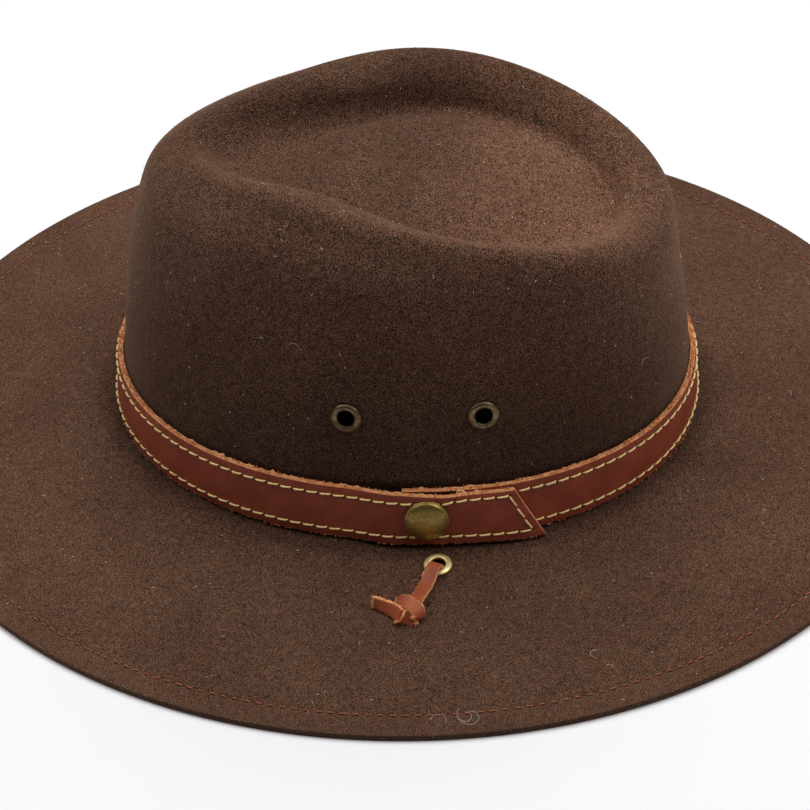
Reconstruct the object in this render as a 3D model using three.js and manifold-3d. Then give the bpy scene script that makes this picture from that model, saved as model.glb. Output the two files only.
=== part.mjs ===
// A hunting hat in brown wool felt: a teardrop crown and a wide, nearly flat brim blocked from one piece of
// felt, a stitched leather strap band closed by a brass snap, brass vent eyelets, and a leather chin thong
// that passes through a grommet in each side of the brim and is knotted on top.
// Millimetres, +Z up. The front of the hat looks along -Y and the wearer's left is +X. The hat rests on the
// flat outer ring of its brim at Z = 0, with the middle of the brim's outline on the Z axis.
// Angles round the hat run from the front, 0, over the wearer's left, 90, to the back, 180.

import * as THREE from 'three';
import { mergeVertices } from 'three/addons/utils/BufferGeometryUtils.js';
import Module from 'manifold-3d';

const wasm = await Module();
wasm.setup();

// The felt
const FELT_THICKNESS = 2.4;
const MERIDIANS = 64;
const OVAL_EXPONENT = 2.06;
const DRILL_SIDES = 16;
const TANGENT_STEP = 0.2;

// The brim
const BRIM_HALF_LENGTH = 187.2;
const BRIM_HALF_WIDTH = 169.8;
const BRIM_RISE = 7.6;
const BRIM_FLAT_RING = 10;
const BREAK_CHAMFER = 0.5;
const BRIM_EDGE_EXPONENT = 2;

// The crown's sections, from the foot of the wall over the rim and down into the sunken top. along: way
// along the felt; front, back, side: half lengths; widest: how far behind the middle the section is widest;
// zFront, zSide, zBack: heights; pinch: how far the two front corners are pressed in; pinchAt: the angle
// from the front at which they are pressed in most.
const COLUMNS = ['along', 'front', 'back', 'side', 'widest', 'zFront', 'zSide', 'zBack', 'pinch', 'pinchAt'];
const SECTIONS = [
  [0, 102.7, 103.6, 85.4, 0, 10.4, 10.4, 10.4, 0, 48], // foot
  [18, 100.8, 102.4, 82.0, 0, 28.1, 28.4, 27.7, 0, 48], // top of the band
  [43, 98.0, 100.8, 77.0, 2, 54.0, 56.5, 50.0, 1.0, 48], // wall
  [68, 94.4, 98.2, 72.3, 4, 78.5, 82.0, 68.5, 2.4, 48], // high wall
  [91, 88.2, 96.2, 67.7, 6, 102.0, 106.3, 86.3, 7.4, 48], // shoulder
  [99, 84.5, 93.5, 64.0, 6, 107.7, 112.6, 92.3, 12.4, 48], // upper shoulder
  [106, 77.5, 86.5, 59.0, 6, 111.4, 117.0, 95.0, 14.4, 48], // crest
  [114, 70.5, 79.5, 51.5, 6, 109.6, 112.8, 93.4, 16.6, 54], // lip of the hollow
  [120, 64.0, 76.8, 47.4, 6, 105.6, 108.0, 90.8, 14.8, 54], // wall of the hollow
  [131, 54.0, 71.0, 44.0, 6, 102.0, 103.2, 89.6, 14.0, 54], // valley
  [147, 41.5, 53.5, 31.5, 6, 101.5, 104.0, 95.5, 5.5, 54], // edge of the domed floor
  [167, 22.0, 26.0, 15.0, 6, 104.8, 105.5, 102.5, 0, 54], // dome
  [190, 0, 0, 0, 6, 105.7, 105.7, 105.7, 0, 54], // middle
].map((row) => Object.fromEntries(COLUMNS.map((name, i) => [name, row[i]])));
const PINCH_WIDTH = 39;
const CROWN_ROWS = [
  0, 18, 31, 43, 56, 68, 80, 91, 95, 99, 103, 106, 110, 114, 117, 120, 125, 131, 139, 147, 160, 175,
];

// The leather band, which starts under the lap, goes round by the back and ends on top of itself
const LEATHER_THICKNESS = 2.1;
const SEAT_GAP = 0.3;
const BAND_FOOT = 0.4;
const BAND_HEIGHT = 19;
const BAND_START = 97;
const BAND_TIP = 478;
const TIP_SLANT = 5.5;
const LAP_RAMP = 11;
const SLANT_RAMP = 12;
const END_CLEARANCE = 1;
const LOOSE_FROM = 464;
const TIP_SAG = 1;
const TIP_FLARE = 1.9;

// The snap on the lap; the curve of its dome is in shares of its radius and of its height
const SNAP_ANGLE = 101.6;
const SNAP_HEIGHT = 10.2;
const SNAP_RADIUS = 7.5;
const SNAP_DOME = 2.5;
const SNAP_RIM = 0.9;
const SNAP_CURVE = [[0.8, 0.68], [0.5, 0.9], [0.2, 0.99], [0, 1]];
const SNAP_POST_RADIUS = 2;
const SNAP_SIDES = 20;
const POST_CLEARANCE = 0.3;

// The vents in the crown wall: angle and way up the felt of the two on each side. An eyelet's shares are
// the height of its mouth and of its flange's edge in its rise, and the reach of its shoulder and of its
// back in its flange.
const VENTS = [
  { name: 'front', angle: 85.5, along: 41.5 },
  { name: 'back', angle: 112, along: 44 },
];
const EYELET_SIDES = 12;
const VENT = { hole: 2.95, barrel: 3.35, flange: 5.25, rise: 1.1 };
const EYELET_BACK_GAP = 0.45;
const EYELET_ROLL = 0.4;
const EYELET_SHARES = { mouth: 0.6, edge: 0.85, shoulder: 0.9, back: 0.84 };

// The grommets in the brim and the thong through them
const GROMMET = { hole: 2.5, barrel: 2.85, flange: 4.9, rise: 1.0 };
const GROMMET_X = 95.3;
const GROMMET_Y = 26.2;
const BARREL_CLEARANCE = 0.3;
const THONG_WIDTH = 4.2;
const THONG_THICKNESS = 1.8;
const THONG_SIDES = 8;
const THONG_LIFT = 0.4;
const THONG_ENDS = { length: 48, steps: 17 };
const THONG_STEPS = 66;

// The thong's route at each grommet, from the knot inwards: the way out from the grommet, and the height
// over the felt, then over the grommet's flange, then over the surface that the hat rests on
const THONG_ON_BRIM = [[16, 2.1], [10.5, 1.4], [6.5, 2.3], [3.4, 2.8]];
const THONG_THROUGH = [[1.1, 1.2], [0.1, -1.6], [-0.5, -4.4]];
const THONG_LANDING = [[-3.2, 2.3], [-8, 1.3]];

// The loop that lies loose on the surface, in the hollow of the crown, from the left side to the right
const THONG_LIE = [
  [68, 34], [38, 46], [5, 52], [-25, 51], [-47, 40], [-54, 22], [-42, 6], [-15, 0], [15, -4], [42, -13],
  [54, -31], [42, -50], [12, -60], [-25, -56], [-52, -40], [-68, -14], [-79, 10],
];

// The knot on top of the brim: where it lies from the grommet, its wrap, and its tail's route, which gives
// the way out past the knot's middle, the way across the thong, and the height over the felt
const KNOT_DISTANCE = 24.4;
const KNOT_TURN = -14;
const KNOT = { width: 4.5, across: 4.3, up: 2.9, height: 3.2, gap: 0.3, segments: 10 };
const TAIL_WIDTH = 4.4;
const TAIL_ROUTE = [[1.7, 2.4, 2.5], [2.5, -1.5, 2.3], [2.5, -5.3, 1.6], [3.3, -13.9, 1.3]];

const rad = THREE.MathUtils.degToRad;
const vec = (x, y, z) => new THREE.Vector3(x, y, z);
const UP = vec(0, 0, 1);

// A natural cubic spline through values at the given knots, as a function of the way along them
function naturalSpline(knots, values) {
  const last = knots.length - 1;
  const bend = new Array(last + 1).fill(0);
  const carry = new Array(last + 1).fill(0);
  const step = (i) => knots[i + 1] - knots[i];
  const slope = (i) => (values[i + 1] - values[i]) / step(i);
  for (let i = 1; i < last; i++) {
    const pivot = 2 * (step(i - 1) + step(i)) - step(i - 1) * carry[i - 1];
    carry[i] = step(i) / pivot;
    bend[i] = (6 * (slope(i) - slope(i - 1)) - step(i - 1) * bend[i - 1]) / pivot;
  }
  for (let i = last - 1; i > 0; i--) bend[i] -= carry[i] * bend[i + 1];
  return (s) => {
    let i = 0;
    while (i < last - 1 && s > knots[i + 1]) i++;
    const h = step(i);
    const b = (s - knots[i]) / h;
    const a = 1 - b;
    const curve = ((a ** 3 - a) * bend[i] + (b ** 3 - b) * bend[i + 1]) * (h * h / 6);
    return a * values[i] + b * values[i + 1] + curve;
  };
}

// The direction from the middle to the edge of a unit oval at angle t in degrees, x to the left, y to the
// back
function unitOval(t, exponent) {
  const c = Math.cos(rad(t));
  const s = Math.sin(rad(t));
  const reach = (Math.abs(c) ** exponent + Math.abs(s) ** exponent) ** (-1 / exponent);
  return [reach * s, -reach * c];
}

// A point of one crown section: an oval with its own front and back half lengths, pressed in at the front
// corners
function sectionPoint(section, t) {
  const [ox, oy] = unitOval(t, OVAL_EXPONENT);
  const c = Math.cos(rad(t));
  const half = oy < 0 ? section.front + section.widest : section.back - section.widest;
  const x = section.side * ox;
  const y = half * oy;
  const fromFront = THREE.MathUtils.radToDeg(Math.acos(THREE.MathUtils.clamp(c, -1, 1)));
  const press = section.pinch * Math.exp(-(((fromFront - section.pinchAt) / PINCH_WIDTH) ** 2));
  const keep = 1 - press / Math.max(Math.hypot(x, y), 1);
  const ends = (section.zFront + section.zBack) / 2;
  const lean = (section.zFront - section.zBack) / 2;
  const z = section.zSide * (1 - c * c) + ends * c * c + lean * c;
  return vec(x * keep, y * keep + section.widest, z);
}

// One meridian of the crown's outer face, as a function of the way along the felt
function crownMeridian(t) {
  const knots = SECTIONS.map((section) => section.along);
  const points = SECTIONS.map((section) => sectionPoint(section, t));
  const [x, y, z] = ['x', 'y', 'z'].map((axis) => naturalSpline(knots, points.map((p) => p[axis])));
  return (s) => vec(x(s), y(s), z(s));
}

const crownPoint = (s, t) => crownMeridian(t)(s);

// The outward direction of the crown's outer face
function crownNormal(s, t) {
  const alongFelt = crownPoint(s + TANGENT_STEP, t).sub(crownPoint(s - TANGENT_STEP, t));
  const around = crownPoint(s, t + TANGENT_STEP).sub(crownPoint(s, t - TANGENT_STEP));
  return around.cross(alongFelt).normalize();
}

// A point of the brim's upper face, where out runs from 0 at the foot of the crown to 1 at the edge
function brimPoint(out, t) {
  const foot = SECTIONS[0];
  const halfLength = THREE.MathUtils.lerp(foot.front + BREAK_CHAMFER, BRIM_HALF_LENGTH, out);
  const halfWidth = THREE.MathUtils.lerp(foot.side + BREAK_CHAMFER, BRIM_HALF_WIDTH, out);
  const [ox, oy] = unitOval(t, THREE.MathUtils.lerp(OVAL_EXPONENT, BRIM_EDGE_EXPONENT, out));
  const flatFrom = 1 - BRIM_FLAT_RING / (BRIM_HALF_WIDTH - foot.side);
  const z = FELT_THICKNESS + BRIM_RISE * Math.max(0, 1 - out / flatFrom);
  return vec(halfWidth * ox, halfLength * oy, z);
}

// The brim's upper face right over a place given by x and y
function brimHeight(x, y) {
  const t = THREE.MathUtils.radToDeg(Math.atan2(x / BRIM_HALF_WIDTH, -y / BRIM_HALF_LENGTH));
  let low = 0;
  let high = 1;
  for (let i = 0; i < 40; i++) {
    const out = (low + high) / 2;
    const p = brimPoint(out, t);
    if (Math.hypot(p.x, p.y) < Math.hypot(x, y)) low = out;
    else high = out;
  }
  return brimPoint(low, t).z;
}

// A closed mesh from rings of equal length, with a point at each end or a flat cap where the point is null
function ringSolid(rings, startPoint, endPoint) {
  const count = rings[0].length;
  const positions = rings.flat().flatMap((p) => [p.x, p.y, p.z]);
  const index = [];
  for (let r = 0; r + 1 < rings.length; r++) {
    for (let i = 0; i < count; i++) {
      const j = (i + 1) % count;
      const a = r * count + i;
      const b = r * count + j;
      index.push(a, b, b + count, a, b + count, a + count);
    }
  }
  const close = (ring, point, flip) => {
    const offset = ring * count;
    if (point) positions.push(point.x, point.y, point.z);
    const hub = point ? positions.length / 3 - 1 : offset;
    for (let i = point ? 0 : 1; i < (point ? count : count - 1); i++) {
      const a = offset + i;
      const b = offset + ((i + 1) % count);
      index.push(hub, ...(flip ? [b, a] : [a, b]));
    }
  };
  close(0, startPoint, true);
  close(rings.length - 1, endPoint, false);
  const geometry = new THREE.BufferGeometry();
  geometry.setAttribute('position', new THREE.Float32BufferAttribute(positions, 3));
  geometry.setIndex(index);
  return geometry;
}

// Booleans on closed meshes
function toSolid(geometry, matrix = new THREE.Matrix4()) {
  const bare = geometry.clone().applyMatrix4(matrix);
  for (const name of Object.keys(bare.attributes)) if (name !== 'position') bare.deleteAttribute(name);
  const merged = mergeVertices(bare);
  const vertProperties = Float32Array.from(merged.attributes.position.array);
  const triVerts = Uint32Array.from(merged.index.array);
  return new wasm.Manifold(new wasm.Mesh({ numProp: 3, vertProperties, triVerts }));
}

function toGeometry(solid) {
  const mesh = solid.getMesh();
  const geometry = new THREE.BufferGeometry();
  geometry.setAttribute('position', new THREE.Float32BufferAttribute(mesh.vertProperties, 3));
  geometry.setIndex(Array.from(mesh.triVerts));
  return geometry;
}

// The matrix that puts a shape turned about Y at a place, with its axis along a direction
function placed(point, axis) {
  const turn = new THREE.Quaternion().setFromUnitVectors(vec(0, 1, 0), axis);
  return new THREE.Matrix4().compose(point, turn, vec(1, 1, 1));
}

function drill(point, axis, radius, depth) {
  return toSolid(new THREE.CylinderGeometry(radius, radius, depth, DRILL_SIDES), placed(point, axis));
}

// The felt: the crown's inner face, the brim's under face, the cut edge, the brim's upper face and the
// crown's
function feltGeometry() {
  const angles = Array.from({ length: MERIDIANS }, (_, i) => (i * 360) / MERIDIANS);
  const flatFrom = 1 - BRIM_FLAT_RING / (BRIM_HALF_WIDTH - SECTIONS[0].side);
  const brimRows = [0, flatFrom / 2, flatFrom, 1];
  const ring = (make) => angles.map(make);
  const down = vec(0, 0, -FELT_THICKNESS);
  const inside = (s, t) => crownPoint(s, t).addScaledVector(crownNormal(s, t), -FELT_THICKNESS);
  const lower = [...CROWN_ROWS].reverse().map((s) => ring((t) => inside(s, t)));
  const brimUnder = brimRows.map((out) => ring((t) => brimPoint(out, t).add(down)));
  const brimTop = [...brimRows].reverse().map((out) => ring((t) => brimPoint(out, t)));
  const upper = CROWN_ROWS.map((s) => ring((t) => crownPoint(s, t)));
  const top = crownPoint(SECTIONS.at(-1).along, 0);
  return ringSolid([...lower, ...brimUnder, ...brimTop, ...upper], top.clone().add(down), top);
}

// The band: four corners at each angle, lifted onto the inner end where the two ends lap. The loose tip
// past the snap sags a little and stands off at its foot.
function bandPoint(t, high, deep) {
  const lapped = THREE.MathUtils.smoothstep(t, BAND_START + 360 - LAP_RAMP, BAND_START + 360 - END_CLEARANCE);
  const loose = THREE.MathUtils.smoothstep(t, LOOSE_FROM, BAND_TIP);
  const stack = SEAT_GAP + lapped * (LEATHER_THICKNESS + SEAT_GAP) + (deep ? 0 : LEATHER_THICKNESS);
  const lift = stack + (high ? 0 : TIP_FLARE * loose);
  const slant = TIP_SLANT * THREE.MathUtils.clamp((t - (BAND_TIP - SLANT_RAMP)) / SLANT_RAMP, 0, 1);
  const angle = high ? t : t + slant;
  const along = BAND_FOOT - TIP_SAG * loose + (high ? BAND_HEIGHT : 0);
  return crownPoint(along, angle).addScaledVector(crownNormal(along, angle), lift);
}

function bandGeometry() {
  const step = 360 / MERIDIANS;
  const between = Array.from({ length: 2 * MERIDIANS }, (_, i) => i * step)
    .filter((t) => t > BAND_START + END_CLEARANCE && t < BAND_TIP - END_CLEARANCE);
  const angles = [BAND_START, ...between, BAND_TIP];
  const corners = (t) => [[false, false], [false, true], [true, true], [true, false]]
    .map(([high, deep]) => bandPoint(t, high, deep));
  return ringSolid(angles.map(corners), null, null);
}

// The snap: a shallow dome with a rolled rim, and a plain post through both ends of the band
function snapGeometry(postLength) {
  const profile = [
    [0, -postLength], [SNAP_POST_RADIUS, -postLength], [SNAP_POST_RADIUS, 0], [SNAP_RADIUS - SNAP_RIM / 2, 0],
    [SNAP_RADIUS, SNAP_RIM / 2], [SNAP_RADIUS - SNAP_RIM / 3, SNAP_RIM],
    ...SNAP_CURVE.map(([reach, rise]) => [SNAP_RADIUS * reach, SNAP_DOME * rise]),
  ];
  return new THREE.LatheGeometry(profile.map(([x, y]) => new THREE.Vector2(x, y)), SNAP_SIDES);
}

// An eyelet turned about Y, with Y = 0 on the felt's outer face: flange, barrel and rolled back
function eyeletGeometry({ hole, barrel, flange, rise }) {
  const { mouth, edge, shoulder, back: backShare } = EYELET_SHARES;
  const back = -FELT_THICKNESS - EYELET_BACK_GAP;
  const profile = [
    [hole, rise * mouth], [hole, back - EYELET_ROLL], [barrel, back - 2 * EYELET_ROLL],
    [flange * backShare, back - EYELET_ROLL], [flange * backShare, back], [barrel, back], [barrel, SEAT_GAP],
    [flange, SEAT_GAP], [flange * shoulder, SEAT_GAP + rise * edge], [barrel, SEAT_GAP + rise],
    [hole, rise * mouth],
  ];
  return new THREE.LatheGeometry(profile.map(([x, y]) => new THREE.Vector2(x, y)), EYELET_SIDES);
}

// The frame of a brim side: its grommet, the way from it to its knot, and the way across
function brimSide(side) {
  const centre = vec(side * GROMMET_X, GROMMET_Y, brimHeight(side * GROMMET_X, GROMMET_Y));
  const out = vec(side * Math.cos(rad(KNOT_TURN)), Math.sin(rad(KNOT_TURN)), 0);
  const across = vec(side * -out.y, side * out.x, 0);
  return { centre, out, across };
}

// A place on a brim side: so far out from the grommet, so far across, and so high over the felt
function onBrim({ centre, out, across }, far, aside, height) {
  const p = centre.clone().addScaledVector(out, far).addScaledVector(across, aside);
  p.z = brimHeight(p.x, p.y) + height;
  return p;
}

// The thong's route on one side, from the knot over the grommet and down to the surface below
function thongDrop(side) {
  const frame = brimSide(side);
  const { centre, out } = frame;
  const below = (far, z) => vec(centre.x + out.x * far, centre.y + out.y * far, z);
  return [
    onBrim(frame, KNOT_DISTANCE - KNOT.width / 2 - KNOT.gap, 0, KNOT.height),
    ...THONG_ON_BRIM.map(([far, height]) => onBrim(frame, far, 0, height)),
    ...THONG_THROUGH.map(([far, height]) => below(far, centre.z + height)),
    ...THONG_LANDING.map(([far, height]) => below(far, height)),
  ];
}

// The thong's whole route, from the left knot to the right one
function thongCurve() {
  const lie = THONG_LIE.map(([x, y]) => vec(x, y, THONG_THICKNESS / 2 + THONG_LIFT));
  const points = [...thongDrop(1), ...lie, ...thongDrop(-1).reverse()];
  return new THREE.CatmullRomCurve3(points, false, 'centripetal');
}

// A flat strip swept along points, kept level across its width; its section is an oval with flat sides
function stripGeometry(points, width, thickness) {
  const rings = points.map((p, i) => {
    const before = points[Math.max(i - 1, 0)];
    const after = points[Math.min(i + 1, points.length - 1)];
    const forward = after.clone().sub(before).normalize();
    const sideways = UP.clone().cross(forward).normalize();
    const lift = forward.clone().cross(sideways);
    return Array.from({ length: THONG_SIDES }, (_, k) => {
      const angle = ((k + 0.5) * 2 * Math.PI) / THONG_SIDES;
      const corner = Math.cos(Math.PI / THONG_SIDES);
      return p.clone()
        .addScaledVector(sideways, (Math.cos(angle) * width) / (2 * corner))
        .addScaledVector(lift, (Math.sin(angle) * thickness) / (2 * corner));
    });
  });
  return ringSolid(rings, null, null);
}

function thongGeometry() {
  const curve = thongCurve();
  const lengths = curve.getLengths(2000);
  const total = lengths.at(-1);
  const { length: end, steps } = THONG_ENDS;
  const middle = THONG_STEPS - 2 * steps;
  const stations = [
    ...Array.from({ length: steps }, (_, i) => (i * end) / steps),
    ...Array.from({ length: middle + 1 }, (_, i) => end + (i * (total - 2 * end)) / middle),
    ...Array.from({ length: steps }, (_, i) => total - end + ((i + 1) * end) / steps),
  ];
  return stripGeometry(stations.map((s) => curve.getPointAt(s / total)), THONG_WIDTH, THONG_THICKNESS);
}

// The knot: a flat loop round the thong, with the tail coming out from under it across the thong
function knotGeometry(side) {
  const frame = brimSide(side);
  const place = (far, aside, height) => onBrim(frame, KNOT_DISTANCE + far, aside, height);
  const middle = place(0, 0, KNOT.height);
  const loop = new THREE.Shape().absellipse(0, 0, KNOT.across, KNOT.up, 0, 2 * Math.PI);
  const flat = { depth: KNOT.width, steps: 1, bevelEnabled: false, curveSegments: KNOT.segments };
  const wrap = new THREE.ExtrudeGeometry(loop, flat);
  const axes = new THREE.Matrix4().makeBasis(frame.across, UP, frame.out.clone().multiplyScalar(side));
  wrap.applyMatrix4(axes.setPosition(middle.addScaledVector(frame.out, (-side * KNOT.width) / 2)));
  const tail = TAIL_ROUTE.map(([far, aside, height]) => place(far, aside, height));
  return toGeometry(toSolid(wrap).add(toSolid(stripGeometry(tail, TAIL_WIDTH, THONG_THICKNESS))));
}

// Finishes
const felt = new THREE.MeshStandardMaterial({ color: 0x4a3529, roughness: 0.95, metalness: 0 });
const strapLeather = new THREE.MeshStandardMaterial({ color: 0x6f3526, roughness: 0.5, metalness: 0 });
const thongLeather = new THREE.MeshStandardMaterial({ color: 0x93492f, roughness: 0.6, metalness: 0 });
const agedBrass = new THREE.MeshStandardMaterial({ color: 0x6f6237, roughness: 0.4, metalness: 1 });
const brightBrass = new THREE.MeshStandardMaterial({ color: 0xb99a4e, roughness: 0.3, metalness: 1 });

const group = new THREE.Group();

function addPiece(name, geometry, material) {
  const mesh = new THREE.Mesh(geometry, material);
  mesh.name = name;
  group.add(mesh);
  return mesh;
}

// Puts a turned shape at a point with its axis along a direction
function addTurned(name, geometry, material, point, axis) {
  const mesh = addPiece(name, geometry, material);
  mesh.position.copy(point);
  mesh.quaternion.setFromUnitVectors(vec(0, 1, 0), axis);
}

const vents = [['left', 1], ['right', -1]].flatMap(([sideName, side]) => VENTS.map((vent) => ({
  name: `vent_eyelet_${sideName}_${vent.name}`,
  point: crownPoint(vent.along, side * vent.angle),
  axis: crownNormal(vent.along, side * vent.angle),
})));
const grommets = [['left', 1], ['right', -1]].map(([sideName, side]) => {
  const { centre } = brimSide(side);
  const inward = vec(centre.x - side, centre.y, brimHeight(centre.x - side, centre.y));
  const slope = inward.sub(centre).multiplyScalar(-side);
  const axis = slope.cross(vec(0, 1, 0)).normalize();
  return { name: `brim_grommet_${sideName}`, point: centre, axis };
});

const drillFelt = (fittings, { barrel }) => fittings
  .map(({ point, axis }) => drill(point, axis, barrel + BARREL_CLEARANCE, 5 * FELT_THICKNESS));
const holes = [...drillFelt(vents, VENT), ...drillFelt(grommets, GROMMET)];
const body = holes.reduce((solid, hole) => solid.subtract(hole), toSolid(feltGeometry()));
addPiece('felt_body', toGeometry(body), felt);

const lapDepth = 2 * (LEATHER_THICKNESS + SEAT_GAP);
const snapAxis = crownNormal(SNAP_HEIGHT, SNAP_ANGLE);
const snapPoint = crownPoint(SNAP_HEIGHT, SNAP_ANGLE).addScaledVector(snapAxis, lapDepth + SEAT_GAP);
const postHole = drill(snapPoint, snapAxis, SNAP_POST_RADIUS + POST_CLEARANCE, 4 * lapDepth);
addPiece('hat_band', toGeometry(toSolid(bandGeometry()).subtract(postHole)), strapLeather);
addTurned('snap_cap', snapGeometry(lapDepth - SEAT_GAP), agedBrass, snapPoint, snapAxis);

for (const { name, point, axis } of vents) addTurned(name, eyeletGeometry(VENT), agedBrass, point, axis);
for (const { name, point, axis } of grommets) {
  addTurned(name, eyeletGeometry(GROMMET), brightBrass, point, axis);
}

addPiece('chin_thong', thongGeometry(), thongLeather);
addPiece('thong_knot_left', knotGeometry(1), thongLeather);
addPiece('thong_knot_right', knotGeometry(-1), thongLeather);

export default group;
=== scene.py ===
"""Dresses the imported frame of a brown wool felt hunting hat.

A teardrop crown and a wide brim are blocked from one felt hood. A stitched leather strap goes round the crown
and closes with a brass snap at the wearer's left, brass eyelets vent the crown, and a leather lace passes
through a grommet in each side of the brim and is knotted on top.

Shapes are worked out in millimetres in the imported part's own frame, as whole arrays, and are written to
meshes in metres. Angles round the hat run in degrees from the front, 0, over the wearer's left, 90, to the
back, 180. The way along the felt starts at the foot of the crown.
"""

import sys
import logging
import math
from dataclasses import dataclass, field, replace
from enum import Enum

import bpy
import numpy as np
from mathutils import Matrix


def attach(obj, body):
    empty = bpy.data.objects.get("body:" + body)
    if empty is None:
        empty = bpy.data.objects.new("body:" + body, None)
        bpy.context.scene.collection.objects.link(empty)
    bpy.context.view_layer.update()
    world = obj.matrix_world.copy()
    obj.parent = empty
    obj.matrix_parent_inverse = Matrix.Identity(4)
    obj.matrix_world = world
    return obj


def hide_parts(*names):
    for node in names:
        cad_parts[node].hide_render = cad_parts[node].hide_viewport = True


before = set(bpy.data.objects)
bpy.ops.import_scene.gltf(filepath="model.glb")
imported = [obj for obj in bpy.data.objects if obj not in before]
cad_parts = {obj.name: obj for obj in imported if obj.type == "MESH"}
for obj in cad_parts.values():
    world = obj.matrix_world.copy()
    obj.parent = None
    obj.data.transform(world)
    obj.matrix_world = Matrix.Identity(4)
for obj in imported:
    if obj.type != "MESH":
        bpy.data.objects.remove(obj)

LOG = logging.getLogger("hunting_hat")
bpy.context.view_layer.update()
MM = 0.001
SEED = 20
UP = np.array([0.0, 0.0, 1.0])

Rng = np.random.Generator
Tree = bpy.types.NodeTree
Node = bpy.types.Node
Socket = bpy.types.NodeSocket


class Side(Enum):
    """The two sides of the hat, with the sign of X on each."""

    LEFT = 1
    RIGHT = -1


class Face(Enum):
    """The two faces of the brim."""

    TOP = 1
    UNDER = -1


def unit(vectors: np.ndarray) -> np.ndarray:
    """Returns the vectors at length one."""
    return vectors / np.maximum(np.linalg.norm(vectors, axis=-1, keepdims=True), 1e-12)


def smooth_step(x: np.ndarray, low: float, high: float | np.ndarray) -> np.ndarray:
    """Returns 0 below low, 1 above high, and an even S between them."""
    u = np.clip((x - low) / (high - low), 0, 1)
    return u * u * (3 - 2 * u)


def bump(x: np.ndarray, middle: float, width: float) -> np.ndarray:
    """Returns a bell of height one round middle: e to the minus square of the distance over the width."""
    return np.exp(-(((x - middle) / width) ** 2))


def soft_noise(rng: Rng, shape: tuple[int, ...], blur: float) -> np.ndarray:
    """Makes seeded noise that is smooth along its first axis.

    Args:
        rng: the seeded source.
        shape: the array's shape.
        blur: the width of the bell that smooths it, in samples.

    Returns:
        An array of that shape with a spread of one.
    """
    white = rng.normal(size=shape)
    reach = int(3 * blur) + 1
    bell = np.exp(-0.5 * (np.arange(-reach, reach + 1) / blur) ** 2)
    padded = np.concatenate([white[-reach:], white, white[:reach]])
    flat = padded.reshape(len(padded), -1)
    smoothed = np.stack([np.convolve(column, bell, "valid") for column in flat.T], axis=1)
    smoothed = smoothed[: shape[0]].reshape(shape)
    return smoothed / smoothed.std()


def grid_faces(rows: int, columns: int, ring: bool = True) -> np.ndarray:
    """Makes the quads of a grid of points stored row by row.

    Args:
        rows: the number of rows.
        columns: the number of points in a row.
        ring: whether the last point of a row joins its first.

    Returns:
        An array of quads, each turning from the first row to the second on the side of the columns' sense.
    """
    r, c = np.meshgrid(np.arange(rows - 1), np.arange(columns if ring else columns - 1), indexing="ij")
    a = r * columns + c
    b = r * columns + (c + 1) % columns
    return np.stack([a, b, b + columns, a + columns], -1).reshape(-1, 4)


@dataclass
class Shell:
    """Points in millimetres, faces as arrays of point numbers, and a value a point for each pattern."""

    points: np.ndarray
    faces: list[np.ndarray]
    values: dict[str, np.ndarray] = field(default_factory=dict)

    @staticmethod
    def joined(shells: list["Shell"]) -> "Shell":
        """Returns one shell that holds all of them."""
        starts = np.cumsum([0] + [len(s.points) for s in shells])
        faces = [f + start for s, start in zip(shells, starts) for f in s.faces]
        keys = shells[0].values
        values = {key: np.concatenate([s.values[key] for s in shells]) for key in keys}
        return Shell(np.concatenate([s.points for s in shells]), faces, values)

    def placed(self, origin: np.ndarray, axes: np.ndarray) -> "Shell":
        """Returns the shell with its X, Y and Z along the three rows of axes and its origin moved there."""
        return Shell(origin + self.points @ axes, self.faces, self.values)

    def piece(self, name: str, material: bpy.types.Material, slot: str) -> bpy.types.Object:
        """Writes the shell to a mesh object that rides on the hat.

        Args:
            name: the piece's name.
            material: its finish.
            slot: a material slot's name; not used.

        Returns:
            The object, at the origin and unturned.
        """
        mesh = bpy.data.meshes.new(name)
        sizes = np.concatenate([np.full(len(f), f.shape[1]) for f in self.faces])
        corners = np.concatenate([f.ravel() for f in self.faces])
        mesh.vertices.add(len(self.points))
        mesh.vertices.foreach_set("co", (self.points * MM).astype(np.float32).ravel())
        mesh.loops.add(len(corners))
        mesh.loops.foreach_set("vertex_index", corners.astype(np.int32))
        mesh.polygons.add(len(sizes))
        mesh.polygons.foreach_set("loop_start", (np.cumsum(sizes) - sizes).astype(np.int32))
        mesh.polygons.foreach_set("use_smooth", np.ones(len(sizes), bool))
        mesh.update(calc_edges=True)
        for key, value in self.values.items():
            attribute = mesh.attributes.new(key, "FLOAT", "POINT")
            attribute.data.foreach_set("value", value.astype(np.float32))
        mesh.materials.append(material)
        obj = bpy.data.objects.new(name, mesh)
        bpy.context.scene.collection.objects.link(obj)
        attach(obj, "root")
        LOG.info("%s: %d triangles", name, (sizes - 2).sum())
        return obj


def tubes(rings: np.ndarray, values: dict[str, np.ndarray] | None = None) -> Shell:
    """Joins rings of points into tubes whose two ends are each closed by one face.

    Args:
        rings: the points, an array of tubes by rings by points by three.
        values: patterns on the points, arrays of tubes by rings by points.

    Returns:
        The closed tubes.
    """
    count, rows, sides = rings.shape[:3]
    start = (np.arange(count) * rows * sides)[:, None, None]
    rim = np.arange(sides)[None, None]
    body = (grid_faces(rows, sides)[None] + start).reshape(-1, 4)
    first = (rim[..., ::-1] + start).reshape(-1, sides)
    last = (rim + (rows - 1) * sides + start).reshape(-1, sides)
    flat = {key: value.reshape(-1) for key, value in (values or {}).items()}
    return Shell(rings.reshape(-1, 3), [body, first, last], flat)


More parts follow.
